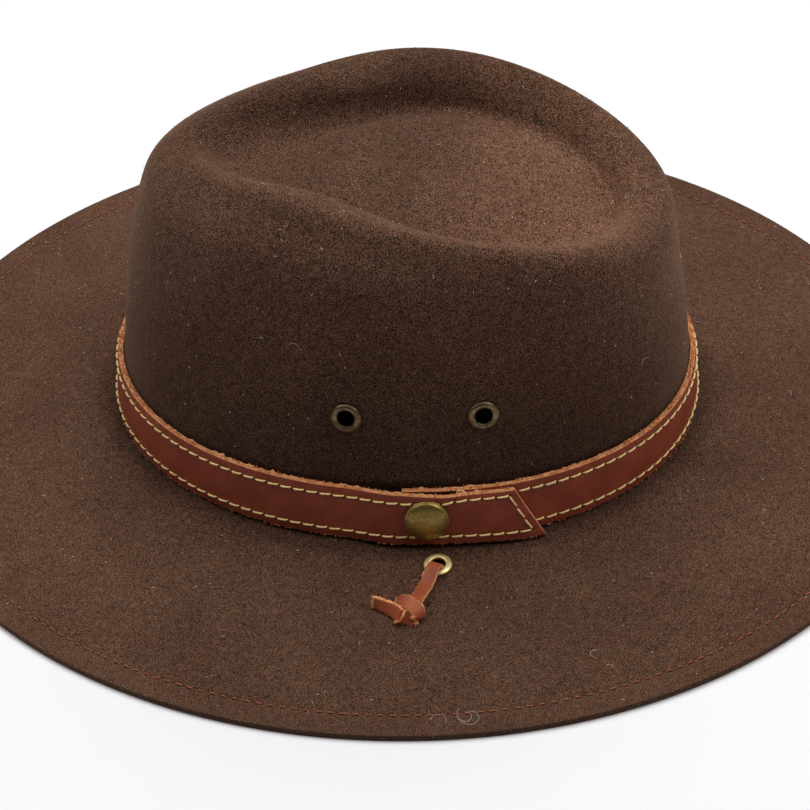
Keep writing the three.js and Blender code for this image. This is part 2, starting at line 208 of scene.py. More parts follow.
def domed(rings: np.ndarray, poles: np.ndarray, values: dict[str, np.ndarray] | None = None) -> Shell:
    """Joins rings of points into one shell whose two ends are fans of triangles round a pole.

    Args:
        rings: the points, an array of rings by points by three.
        poles: the two points that close the first and the last ring.
        values: patterns on the rings' points and then on the poles.

    Returns:
        The closed shell.
    """
    rows, sides = rings.shape[:2]
    at = np.arange(sides)
    after = (at + 1) % sides
    pole, last = np.full(sides, rows * sides), (rows - 1) * sides
    fans = [np.stack([pole, after, at], -1), np.stack([pole + 1, last + at, last + after], -1)]
    points = np.concatenate([rings.reshape(-1, 3), poles])
    return Shell(points, [grid_faces(rows, sides), *fans], values or {})


def turned(profile: list[tuple[float, float]], sides: int) -> Shell:
    """Turns a profile about Z.

    Args:
        profile: radius and height pairs, up the outside: a closed loop, or a line with both ends on the axis.
        sides: the number of sides.

    Returns:
        The closed shell: each point goes round a circle of its radius at its height.
    """
    on_axis = profile[0][0] == 0
    line = np.array(profile[1:-1] if on_axis else [*profile, profile[0]])
    angle = np.arange(sides) * 2 * np.pi / sides
    circle = np.stack([np.cos(angle), np.sin(angle)], -1)
    flat = line[:, None, :1] * circle[None]
    height = np.broadcast_to(line[:, None, 1:], (*flat.shape[:2], 1))
    points = np.concatenate([flat, height], -1)
    if not on_axis:
        faces = grid_faces(len(line), sides) % ((len(line) - 1) * sides)
        return Shell(points[:-1].reshape(-1, 3), [faces])
    return domed(points, np.array([[0, 0, profile[0][1]], [0, 0, profile[-1][1]]]))


def spikes(feet: np.ndarray, ways: np.ndarray, width: float) -> Shell:
    """Makes a thin closed spike on each foot.

    Three points stand round the foot, square to its way and width from it, and one at the end of its way.

    Args:
        feet: where the spikes stand.
        ways: how far and in which direction each goes.
        width: the radius of a foot.

    Returns:
        The spikes, four faces each.
    """
    side = unit(np.cross(ways, [0.31, 0.52, 0.8]))
    other = np.cross(unit(ways), side)
    turn = np.arange(3) * 2 * np.pi / 3
    c, s = np.cos(turn)[:, None], np.sin(turn)[:, None]
    base = feet[:, None] + width * (c * side[:, None] + s * other[:, None])
    points = np.concatenate([base, (feet + ways)[:, None]], axis=1)
    one = np.array([[0, 2, 1], [0, 1, 3], [1, 2, 3], [2, 0, 3]])
    faces = (one[None] + 4 * np.arange(len(feet))[:, None, None]).reshape(-1, 3)
    return Shell(points.reshape(-1, 3), [faces])


def torn_fibres(rng: Rng, feet: np.ndarray, ways: np.ndarray, span: tuple, width: float) -> Shell:
    """Makes the fibres torn loose from a leather edge: most are short, by the cube of an even draw.

    Args:
        rng: the seeded source of their lengths.
        feet: where the fibres stand.
        ways: the direction that each goes.
        span: the shortest and the longest.
        width: the radius of a foot.

    Returns:
        The fibres, raw all over.
    """
    lengths = rng.uniform(0, 1, (len(feet), 1)) ** 3 * (span[1] - span[0]) + span[0]
    fray = spikes(feet, ways * lengths, width)
    fray.values = {"raw": np.ones(len(fray.points)), "hole": np.zeros(len(fray.points))}
    return fray


def strands(paths: np.ndarray, radius: float, ups: np.ndarray, sides: int = 5) -> Shell:
    """Makes a thin round strand along each of many paths.

    Each ring is a circle square to the path, turned so that its first half diameter is square to up.

    Args:
        paths: the points, an array of strands by points by three.
        radius: the strands' radius.
        ups: a direction for each strand that it never follows.
        sides: the number of sides.

    Returns:
        The closed strands.
    """
    forward = unit(np.gradient(paths, axis=1))
    across = unit(np.cross(ups[:, None], forward))
    lift = np.cross(forward, across)
    turn = np.arange(sides) * 2 * np.pi / sides
    circle = np.cos(turn)[:, None] * across[:, :, None] + np.sin(turn)[:, None] * lift[:, :, None]
    return tubes(paths[:, :, None] + radius * circle)


def arc(centre: tuple, radii: tuple, start: float, stop: float, count: int) -> list[tuple[float, float]]:
    """Returns points of an ellipse's arc between two angles in degrees."""
    angles = np.radians(np.linspace(start, stop, count))
    return [(centre[0] + radii[0] * math.cos(a), centre[1] + radii[1] * math.sin(a)) for a in angles]


def smooth_path(points: np.ndarray, each: int) -> np.ndarray:
    """Draws the centripetal Catmull-Rom curve through points.

    Each stretch is the cubic whose end slopes come from the points around it, with the square roots of the
    distances between them as its knots. Past both ends the curve is mirrored.

    Args:
        points: the points that it goes through.
        each: the number of points on each stretch.

    Returns:
        The points of the curve.
    """
    ends = np.concatenate([[2 * points[0] - points[1]], points, [2 * points[-1] - points[-2]]])
    p0, p1, p2, p3 = ends[:-3, None], ends[1:-2, None], ends[2:-1, None], ends[3:, None]
    knots = np.sqrt(np.linalg.norm(np.diff(ends, axis=0), axis=1))
    d0, d1, d2 = (k[:, None, None] for k in (knots[:-2], knots[1:-1], knots[2:]))
    slope1 = ((p1 - p0) / d0 - (p2 - p0) / (d0 + d1) + (p2 - p1) / d1) * d1
    slope2 = ((p2 - p1) / d1 - (p3 - p1) / (d1 + d2) + (p3 - p2) / d2) * d1
    u = (np.arange(each) / each)[None, :, None]
    cube = 2 * p1 - 2 * p2 + slope1 + slope2
    square = -3 * p1 + 3 * p2 - 2 * slope1 - slope2
    curve = cube * u**3 + square * u**2 + slope1 * u + p1
    return np.concatenate([curve.reshape(-1, 3), points[-1:]])


def along(points: np.ndarray) -> np.ndarray:
    """Returns how far each point is along the line through them."""
    steps = np.linalg.norm(np.diff(points, axis=0), axis=1)
    return np.concatenate([[0], np.cumsum(steps)])


def respaced(points: np.ndarray, step: float) -> np.ndarray:
    """Returns points about step apart along the same line, its two ends included."""
    way = along(points)
    at = np.linspace(0, way[-1], max(2, round(way[-1] / step) + 1))
    return np.stack([np.interp(at, way, points[:, k]) for k in range(points.shape[1])], axis=1)


@dataclass
class HatBlock:
    """The shape that the hood is blocked to: a table of crown sections and the brim's ovals.

    The columns of a section are: the way along the felt; the front, back and side half lengths; how far
    behind the middle it is widest; its heights at the front, sides and back; how far its two front corners
    are pressed in; and the angle from the front of that press.
    """

    sections: tuple[tuple[float, ...], ...] = (
        (0, 102.7, 103.6, 85.4, 0, 10.4, 10.4, 10.4, 0, 48),
        (18, 100.8, 102.4, 82.0, 0, 28.1, 28.4, 27.7, 0, 48),
        (43, 98.0, 100.8, 77.0, 2, 54.0, 56.5, 50.0, 1.0, 48),
        (68, 94.4, 98.2, 72.3, 4, 78.5, 82.0, 68.5, 2.4, 48),
        (91, 88.2, 96.2, 67.7, 6, 102.0, 106.3, 86.3, 7.4, 48),
        (99, 84.5, 93.5, 64.0, 6, 107.7, 112.6, 92.3, 12.4, 48),
        (106, 77.5, 86.5, 59.0, 6, 111.4, 117.0, 95.0, 14.4, 48),
        (114, 70.5, 79.5, 51.5, 6, 109.6, 112.8, 93.4, 16.6, 54),
        (120, 64.0, 76.8, 47.4, 6, 105.6, 108.0, 90.8, 14.8, 54),
        (131, 54.0, 71.0, 44.0, 6, 102.0, 103.2, 89.6, 14.0, 54),
        (147, 41.5, 53.5, 31.5, 6, 101.5, 104.0, 95.5, 5.5, 54),
        (167, 22.0, 26.0, 15.0, 6, 104.8, 105.5, 102.5, 0, 54),
        (190, 0, 0, 0, 6, 105.7, 105.7, 105.7, 0, 54),
    )
    pinch_width: float = 39
    oval: float = 2.06
    edge_oval: float = 2
    thickness: float = 2.4
    half_length: float = 187.2
    half_width: float = 169.8
    rise: float = 7.6
    flat_ring: float = 10
    break_chamfer: float = 0.5
    tangent_step: float = 0.2
    brim_samples: int = 800

    @property
    def brim_width(self) -> float:
        """The brim's width at the sides, from the break to the edge."""
        return self.half_width - self.sections[0][3] - self.break_chamfer

    def _weights(self, way: np.ndarray) -> np.ndarray:
        """Returns the share of each section in a natural cubic spline at each way along the felt.

        Between two knots the spline is the straight line plus (a cubed minus a) and (b cubed minus b) times
        the bends at the knots, a sixth of the step squared each, and the bends make the slopes meet.
        """
        knots = np.array([row[0] for row in self.sections], float)
        count = len(knots)
        step = np.diff(knots)
        left = np.eye(count)
        right = np.zeros((count, count))
        for i in range(1, count - 1):
            left[i, i - 1 : i + 2] = step[i - 1], 2 * (step[i - 1] + step[i]), step[i]
            right[i, i - 1 : i + 2] = 6 / step[i - 1], -6 / step[i - 1] - 6 / step[i], 6 / step[i]
        bends = np.linalg.solve(left, right)
        i = np.clip(np.searchsorted(knots, way, side="right") - 1, 0, count - 2)
        b = ((way - knots[i]) / step[i])[:, None]
        a = 1 - b
        sixth = (step[i] ** 2 / 6)[:, None]
        own = np.eye(count)
        return a * own[i] + b * own[i + 1] + ((a**3 - a) * bends[i] + (b**3 - b) * bends[i + 1]) * sixth

    def _sections_at(self, angle: np.ndarray) -> np.ndarray:
        """Returns the point of every section at each angle.

        A section is an oval of exponent 2.06 whose front and back halves have their own lengths, pressed
        towards its middle by a bell round the front corners. Its height is the side height times sine
        squared plus the mean of front and back times cosine squared plus half their difference times cosine.
        """
        c, s = np.cos(np.radians(angle)), np.sin(np.radians(angle))
        reach = (np.abs(c) ** self.oval + np.abs(s) ** self.oval) ** (-1 / self.oval)
        from_front = np.degrees(np.arccos(np.clip(c, -1, 1)))
        loops = []
        for _, front, back, side, widest, z_front, z_side, z_back, pinch, pinch_at in self.sections:
            x = side * reach * s
            y = np.where(c > 0, front + widest, back - widest) * -reach * c
            keep = 1 - pinch * bump(from_front, pinch_at, self.pinch_width) / np.maximum(np.hypot(x, y), 1)
            z = z_side * s * s + (z_front + z_back) / 2 * c * c + (z_front - z_back) / 2 * c
            loops.append(np.stack([x * keep, y * keep + widest, z], -1))
        return np.array(loops)

    def crown(self, way: np.ndarray, angle: np.ndarray) -> np.ndarray:
        """Returns points of the crown's outer face.

        Args:
            way: the way along the felt from the foot, any shape.
            angle: the angles, of the same shape.

        Returns:
            The points, with three numbers on the last axis.
        """
        way, angle = np.broadcast_arrays(np.asarray(way, float), np.asarray(angle, float))
        found = np.einsum("nk,knc->nc", self._weights(way.ravel()), self._sections_at(angle.ravel()))
        return found.reshape(*way.shape, 3)

    def crown_normal(self, way: np.ndarray, angle: np.ndarray) -> np.ndarray:
        """Returns the outward directions of the crown: the cross product of its two tangents."""
        step = self.tangent_step
        up = self.crown(way + step, angle) - self.crown(way - step, angle)
        around = self.crown(way, angle + step) - self.crown(way, angle - step)
        return unit(np.cross(around, up))

    def brim(self, out: np.ndarray, angle: np.ndarray) -> np.ndarray:
        """Returns points of the brim's upper face, where out runs from 0 at the break to 1 at the edge.

        Both half lengths and the oval's exponent go straight from the crown's foot to the edge, and the
        height falls straight to the flat outer ring.
        """
        out, angle = np.broadcast_arrays(np.asarray(out, float), np.asarray(angle, float))
        c, s = np.cos(np.radians(angle)), np.sin(np.radians(angle))
        foot_length = self.sections[0][1] + self.break_chamfer
        foot_width = self.sections[0][3] + self.break_chamfer
        length = foot_length + (self.half_length - foot_length) * out
        width = foot_width + (self.half_width - foot_width) * out
        power = self.oval + (self.edge_oval - self.oval) * out
        reach = (np.abs(c) ** power + np.abs(s) ** power) ** (-1 / power)
        flat_from = 1 - self.flat_ring / (self.half_width - self.sections[0][3])
        height = self.thickness + self.rise * np.maximum(0, 1 - out / flat_from)
        return np.stack([width * reach * s, -length * reach * c, height], -1)

    def brim_height(self, x: float, y: float) -> float:
        """Returns the height of the brim's upper face over a place."""
        angle = math.degrees(math.atan2(x / self.half_width, -y / self.half_length))
        line = self.brim(np.linspace(0, 1, self.brim_samples), angle)
        return float(np.interp(math.hypot(x, y), np.hypot(line[:, 0], line[:, 1]), line[:, 2]))


def srgb(colour: str) -> tuple[float, float, float, float]:
    """Returns a linear colour from an sRGB hex value such as #6b3322."""
    parts = [int(colour[i : i + 2], 16) / 255 for i in (1, 3, 5)]
    linear = [p / 12.92 if p <= 0.04045 else ((p + 0.055) / 1.055) ** 2.4 for p in parts]
    return (*linear, 1.0)


def add_node(tree: Tree, kind: str, settings: dict | None = None, inputs: dict | None = None) -> Node:
    """Adds a node.

    Args:
        tree: the material's or world's nodes.
        kind: Blender's name for the kind of node.
        settings: the node's own properties.
        inputs: socket names or numbers, each with a value or with the socket that feeds it.

    Returns:
        The node.
    """
    node = tree.nodes.new(kind)
    for key, value in (settings or {}).items():
        setattr(node, key, value)
    for key, value in (inputs or {}).items():
        if isinstance(value, Socket):
            tree.links.new(value, node.inputs[key])
        else:
            node.inputs[key].default_value = value
    return node


@dataclass
class Recipe:
    """A material under way: its tree and its shader, with the few patterns that the finishes share."""

    name: str
    material: bpy.types.Material = field(init=False)
    tree: Tree = field(init=False)
    shader: Node = field(init=False)
    coordinates: Socket = field(init=False)

    def __post_init__(self) -> None:
        """Makes the empty material."""
        self.material = bpy.data.materials.new(self.name)
        self.material.use_nodes = True
        self.tree = self.material.node_tree
        self.shader = self.tree.nodes["Principled BSDF"]
        self.coordinates = add_node(self.tree, "ShaderNodeTexCoord").outputs["Object"]

    def constants(self, **sockets: float | tuple) -> None:
        """Sets the shader's own sockets, with spaces for the underscores in their names."""
        for key, value in sockets.items():
            self.shader.inputs[key.replace("_", " ")].default_value = value

    def feed(self, socket: str, value: Socket) -> None:
        """Links a pattern to one of the shader's sockets."""
        self.tree.links.new(value, self.shader.inputs[socket])

    def mapped(self, **inputs: tuple[float, float, float]) -> Socket:
        """Returns the object's coordinates moved by Location or scaled by Scale."""
        inputs = {"Vector": self.coordinates, **inputs}
        return add_node(self.tree, "ShaderNodeMapping", inputs=inputs).outputs[0]

    def noise(
        self, size_mm: float, detail: float = 3, rough: float = 0.6, at: Socket | None = None
    ) -> Socket:
        """Returns cloud noise whose features are about size_mm across."""
        inputs = {"Vector": at or self.coordinates, "Scale": 1 / (size_mm * MM), "Detail": detail}
        return add_node(self.tree, "ShaderNodeTexNoise", inputs={**inputs, "Roughness": rough}).outputs["Fac"]

    def attribute(self, name: str) -> Socket:
        """Returns a pattern stored on the piece's points."""
        return add_node(self.tree, "ShaderNodeAttribute", {"attribute_name": name}).outputs["Fac"]

    def ramp(self, value: Socket, low: float, high: float, out_low: float = 0, out_high: float = 1) -> Socket:
        """Returns the value taken smoothly from low and high to out_low and out_high."""
        inputs = {"Value": value, "From Min": low, "From Max": high, "To Min": out_low, "To Max": out_high}
        settings = {"interpolation_type": "SMOOTHSTEP"}
        return add_node(self.tree, "ShaderNodeMapRange", settings, inputs).outputs["Result"]

    def math(self, operation: str, a: Socket, b: Socket | float) -> Socket:
        """Returns one sum of two values."""
        return add_node(self.tree, "ShaderNodeMath", {"operation": operation}, {0: a, 1: b}).outputs[0]

    def mix(self, a: Socket, b: Socket, share: float) -> Socket:
        """Returns two patterns added, the first by its share and the second by the rest."""
        return self.math("ADD", self.math("MULTIPLY", a, share), self.math("MULTIPLY", b, 1 - share))

    def blend(self, share: Socket | float, a: Socket | str, b: Socket | str, how: str = "MIX") -> Socket:
        """Returns two colours mixed by a share; hex values are taken as colours."""
        a, b = (srgb(x) if isinstance(x, str) else x for x in (a, b))
        settings = {"data_type": "RGBA", "blend_type": how}
        return add_node(self.tree, "ShaderNodeMix", settings, {0: share, 6: a, 7: b}).outputs[2]

    def relief(
        self, height: Socket, depth_mm: float, strength: float = 1.0, below: Socket | None = None
    ) -> Socket:
        """Returns a normal bumped by a height pattern, on top of another bumped normal if one is given."""
        inputs = {"Height": height, "Distance": depth_mm * MM, "Strength": strength}
        if below is not None:
            inputs["Normal"] = below
        return add_node(self.tree, "ShaderNodeBump", inputs=inputs).outputs["Normal"]


@dataclass(frozen=True)
class WoolFelt:
    """Wool felt, blocked and sanded.

    A real fibre is about 0.03 mm thick, too fine to show, so the grain is drawn at 0.4 mm and the single pale
    and rust fibres at 0.8 mm. The tone stored on the hat is painted light and shade, which makes it paler
    or darker, evened takes the grain towards its mean where the nap is pressed flat, and edge is the way in
    from the cut edge.
    """

    name: str
    shade: str
    tip: str
    # The cut edge's colour: partly its own, partly painted shade for its shaded side face.
    cut: str
    flecks: tuple[tuple[str, float], ...]
    patch: str
    sheen_tint: str
    fibre_mm: float = 0.4
    cloud_mm: float = 2.4
    patch_mm: float = 42
    fleck_mm: float = 0.8
    fleck_peak: tuple[float, float] = (0.72, 0.76)
    fibre_share: float = 0.85
    contrast: tuple[float, float] = (0.38, 0.71)
    mean_share: float = 0.36
    cut_reach: tuple[float, float] = (-0.35, 0.1)
    cut_rag: float = 0.6
    relief_mm: float = 0.32
    fibre_relief: float = 0.9
    cloud_relief: float = 0.5
    patch_span: tuple[float, float] = (0.3, 0.7)
    cover: float = 0.8
    roughness: float = 0.96
    specular: float = 0.15
    sheen: float = 0.6
    sheen_roughness: float = 0.3

    def material(self) -> bpy.types.Material:
        """Returns the finish: fibre noise over soft clouds, with the rare peaks of two noises as flecks."""
        r = Recipe(self.name)
        fibre, cloud = r.noise(self.fibre_mm, 2), r.noise(self.cloud_mm)
        share = r.ramp(r.mix(fibre, cloud, self.fibre_share), *self.contrast)
        spread = r.math("SUBTRACT", share, self.mean_share)
        share = r.math("SUBTRACT", share, r.math("MULTIPLY", spread, r.attribute("evened")))
        colour = r.blend(share, self.shade, self.tip)
        for fleck, shift in self.flecks:
            peaks = r.noise(self.fleck_mm, 3, 0.7, r.mapped(Location=(shift, shift, 0)))
            colour = r.blend(r.ramp(peaks, *self.fleck_peak, 0, self.cover), colour, fleck)
        patches = r.blend(r.ramp(r.noise(self.patch_mm, 2), *self.patch_span), self.patch, "#ffffff")
        colour = r.blend(1.0, colour, patches, "MULTIPLY")
        # The cut colour near the cut edge is partly painted shade for the shaded side face.
        ragged = r.math("SUBTRACT", r.attribute("edge"), r.math("MULTIPLY", fibre, self.cut_rag))
        colour = r.blend(r.ramp(ragged, *self.cut_reach, self.cover, 0), colour, self.cut)
        # Painted light and shade: the colour scaled by the tone stored on the hat.
        toned = {0: colour, "Scale": r.attribute("tone")}
        toned = add_node(r.tree, "ShaderNodeVectorMath", {"operation": "SCALE"}, toned).outputs[0]
        r.feed("Base Color", toned)
        nap = r.relief(fibre, self.relief_mm, self.fibre_relief)
        r.feed("Normal", r.relief(cloud, self.relief_mm, self.cloud_relief, nap))
        r.constants(Roughness=self.roughness, Specular_IOR_Level=self.specular, Sheen_Weight=self.sheen)
        r.constants(Sheen_Roughness=self.sheen_roughness, Sheen_Tint=srgb(self.sheen_tint))
        return r.material


@dataclass(frozen=True)
class LooseWool:
    """Loose wool fibre, whose tone on the piece goes from the ground over the pale to the rust colour."""

    name: str
    ground: str
    pale: str
    rust: str
    roughness: float = 0.9
    specular: float = 0.2

    def material(self) -> bpy.types.Material:
        """Returns the finish: the ground colour for a tone of 0, the pale one for a half, the rust for 1."""
        r = Recipe(self.name)
        tone = r.attribute("tone")
        colour = r.blend(r.ramp(tone, 0, 0.5), self.ground, self.pale)
        r.feed("Base Color", r.blend(r.ramp(tone, 0.5, 1), colour, self.rust))
        r.constants(Roughness=self.roughness, Specular_IOR_Level=self.specular)
        return r.material


@dataclass(frozen=True)
class Leather:
    """Vegetable-tanned leather: a dyed face with pebbles 1.1 mm apart and fibrous raw edges.

    A real fibre of the raw edge is a few hundredths of a millimetre, too fine to show, so it is drawn at
    0.5 mm. The patterns on the piece are raw, 1 on the cut edges, and hole, painted shade: 1 deep in a stitch
    hole, with painted shadow under the stitches and under the lap.
    """

    name: str
    face: str
    deep: str
    raw: str = "#ffba82"
    raw_deep: str = "#bf713e"
    # The colour of the painted shade in stitch holes and the painted shadow under stitches and the lap.
    hole: str = "#1d0c07"
    cloud_mm: float = 9
    fibre_mm: float = 0.5
    grain_mm: float = 1.1
    grain_depth_mm: float = 0.03
    grain_relief: float = 0.5
    grain_seam: float = 0.12
    fibre_depth_mm: float = 0.25
    fibre_relief: float = 0.35
    mottle: tuple[float, float] = (0.35, 0.65)
    streak: tuple[float, float] = (0.3, 0.7)
    streak_cover: float = 0.25
    painted_shade_span: tuple[float, float] = (0.1, 0.8)
    painted_shade_cover: float = 0.96
    fray: float = 0.9
    roughness: float = 0.5
    raw_roughness: float = 0.92
    specular: float = 0.3

    def material(self) -> bpy.types.Material:
        """Returns the finish: the raw pattern, frayed by fibre noise, takes the face over to the edges."""
        r = Recipe(self.name)
        fine = r.noise(self.fibre_mm, 4, 0.7)
        inputs = {"Vector": r.coordinates, "Scale": 1 / (self.grain_mm * MM), "Randomness": 1.0}
        settings = {"feature": "DISTANCE_TO_EDGE"}
        cells = add_node(r.tree, "ShaderNodeTexVoronoi", settings, inputs).outputs["Distance"]
        face = r.blend(r.ramp(r.noise(self.cloud_mm), *self.mottle), self.deep, self.face)
        face = r.blend(r.ramp(fine, *self.streak, self.streak_cover, 0), face, self.deep)
        raw = r.blend(r.ramp(fine, *self.mottle), self.raw_deep, self.raw)
        frayed = r.math("MULTIPLY", r.math("SUBTRACT", fine, 0.5), self.fray)
        share = r.ramp(r.math("ADD", r.attribute("raw"), frayed), *self.mottle)
        # Painted shade and shadow: the hole pattern takes the colour to the hole colour.
        dark = r.ramp(r.attribute("hole"), *self.painted_shade_span, 0, self.painted_shade_cover)
        r.feed("Base Color", r.blend(dark, r.blend(share, face, raw), self.hole))
        r.feed("Roughness", r.ramp(share, 0, 1, self.roughness, self.raw_roughness))
        pores = r.relief(r.ramp(cells, 0, self.grain_seam), self.grain_depth_mm, self.grain_relief)
        r.feed("Normal", r.relief(fine, self.fibre_depth_mm, self.fibre_relief, pores))
        r.constants(Specular_IOR_Level=self.specular)
        return r.material


@dataclass(frozen=True)
class Thread:
    """Two-ply thread whose own fibres are too fine to show, so their noise is drawn at 0.35 mm."""

    name: str
    colour: str
    deep: str
    roughness: float
    specular: float
    fibre_mm: float = 0.35
    depth_mm: float = 0.08
    fibre_relief: float = 0.6
    mottle: tuple[float, float] = (0.3, 0.7)
    end_from: float = 0.8
    painted_end_shade: float = 0.75

    def material(self) -> bpy.types.Material:
        """Returns the finish: fibre noise between the two colours, and the deep one where a stitch ends.

        The deep colour at the ends is painted shade where the thread dips into its holes.
        """
        r = Recipe(self.name)
        fibre = r.noise(self.fibre_mm)
        colour = r.blend(r.ramp(fibre, *self.mottle), self.deep, self.colour)
        # Painted shade: the deep colour where the stitch dips into its holes.
        ends = r.ramp(r.attribute("end"), self.end_from, 1, 0, self.painted_end_shade)
        r.feed("Base Color", r.blend(ends, colour, self.deep))
        r.feed("Normal", r.relief(fibre, self.depth_mm, self.fibre_relief))
        r.constants(Roughness=self.roughness, Specular_IOR_Level=self.specular)
        return r.material


@dataclass(frozen=True)
class Brass:
    """Pressed brass, toned or left bright, with flattened clouds and tarnish spots, and painted shade in the
    barrel.
    """

    name: str
    bright: str
    dull: str
    roughness: float
    tarnish: float
    cloud_mm: tuple[float, float, float] = (6.0, 6.0, 0.5)
    spot_mm: float = 1.6
    cloud_share: float = 0.55
    tarnish_span: tuple[float, float] = (0.36, 0.64)
    dull_span: tuple[float, float] = (0.35, 0.65)
    dull_roughness: float = 0.18
    depth_mm: float = 0.03
    cloud_relief: float = 0.3
    # The colour of the painted shade down inside an eyelet's barrel.
    barrel: str = "#100b06"

    def material(self) -> bpy.types.Material:
        """Returns the finish: noise squeezed in height makes the clouds, and round noise the spots."""
        r = Recipe(self.name)
        cloud = r.noise(1 / MM, 4, 0.6, r.mapped(Scale=tuple(1 / (size * MM) for size in self.cloud_mm)))
        dulled = r.mix(cloud, r.noise(self.spot_mm, 4, 0.65), self.cloud_share)
        tarnished = r.ramp(dulled, *self.tarnish_span, 0, self.tarnish)
        colour = r.blend(tarnished, self.bright, self.dull)
        # Painted shade: the inside pattern takes the colour to the barrel colour.
        r.feed("Base Color", r.blend(r.attribute("inside"), colour, self.barrel))
        rough = self.roughness, self.roughness + self.dull_roughness
        r.feed("Roughness", r.ramp(dulled, *self.dull_span, *rough))
        r.feed("Normal", r.relief(cloud, self.depth_mm, self.cloud_relief))
        r.constants(Metallic=1.0)
        return r.material


# Sanded wool felt gives the eye a soft matt brown, grainy near by, that pales where it is seen along its nap.
HOOD_FELT = WoolFelt(
    name="sanded_wool_felt",
    shade="#1f1207",
    tip="#936b55",
    cut="#37271d",
    flecks=(("#b59c86", 3.0), ("#a4552f", 7.0)),
    patch="#e9e4e2",
    sheen_tint="#c39a7d",
)
# Loose wool lets light through its thin ends: a pale haze on the outline, and lint in cream and rust.
LOOSE_WOOL = LooseWool("loose_wool_fibre", "#9c7a62", "#ddd6c8", "#b06238")
# Vegetable-tanned strap, dyed and burnished: an even red-brown with a low gloss, between pale fibrous edges.
STRAP_LEATHER = Leather("strap_leather", "#9a442a", "#88361f", specular=0.42)
# Latigo lace, oiled: more orange than the strap and a little glossier on its face, dry and tan on its sides.
LACE_LEATHER = Leather("lace_leather", "#b4603c", "#98492c", roughness=0.46)
# Waxed thread: cream, with a faint shine along the top of each stitch.
WAXED_THREAD = Thread("waxed_thread", "#ffe6a4", "#f6cd80", 0.45, 0.5)
# Plain thread in rust, dull, so that the brim's row only just shows on the felt.
RUST_THREAD = Thread("rust_thread", "#b5694a", "#7a3d28", 0.62, 0.3)
# Toned and lacquered brass: the snap is olive and mottled, with soft broad lights.
TONED_BRASS = Brass("toned_brass", "#b9a05a", "#80693a", 0.34, 0.75, (9.0, 9.0, 2.4), 0.9)
# Toned darker for the vents: brown-grey rings that stay quiet in the felt.
TONED_EYELET_BRASS = Brass("toned_eyelet_brass", "#8d7659", "#4a3c2b", 0.36, 0.8, (9.0, 9.0, 3.0))
# Bright brass, satin: the grommets are pale gold and catch the light.
BRIGHT_BRASS = Brass("bright_brass", "#eedba0", "#c2ad6c", 0.42, 0.45)


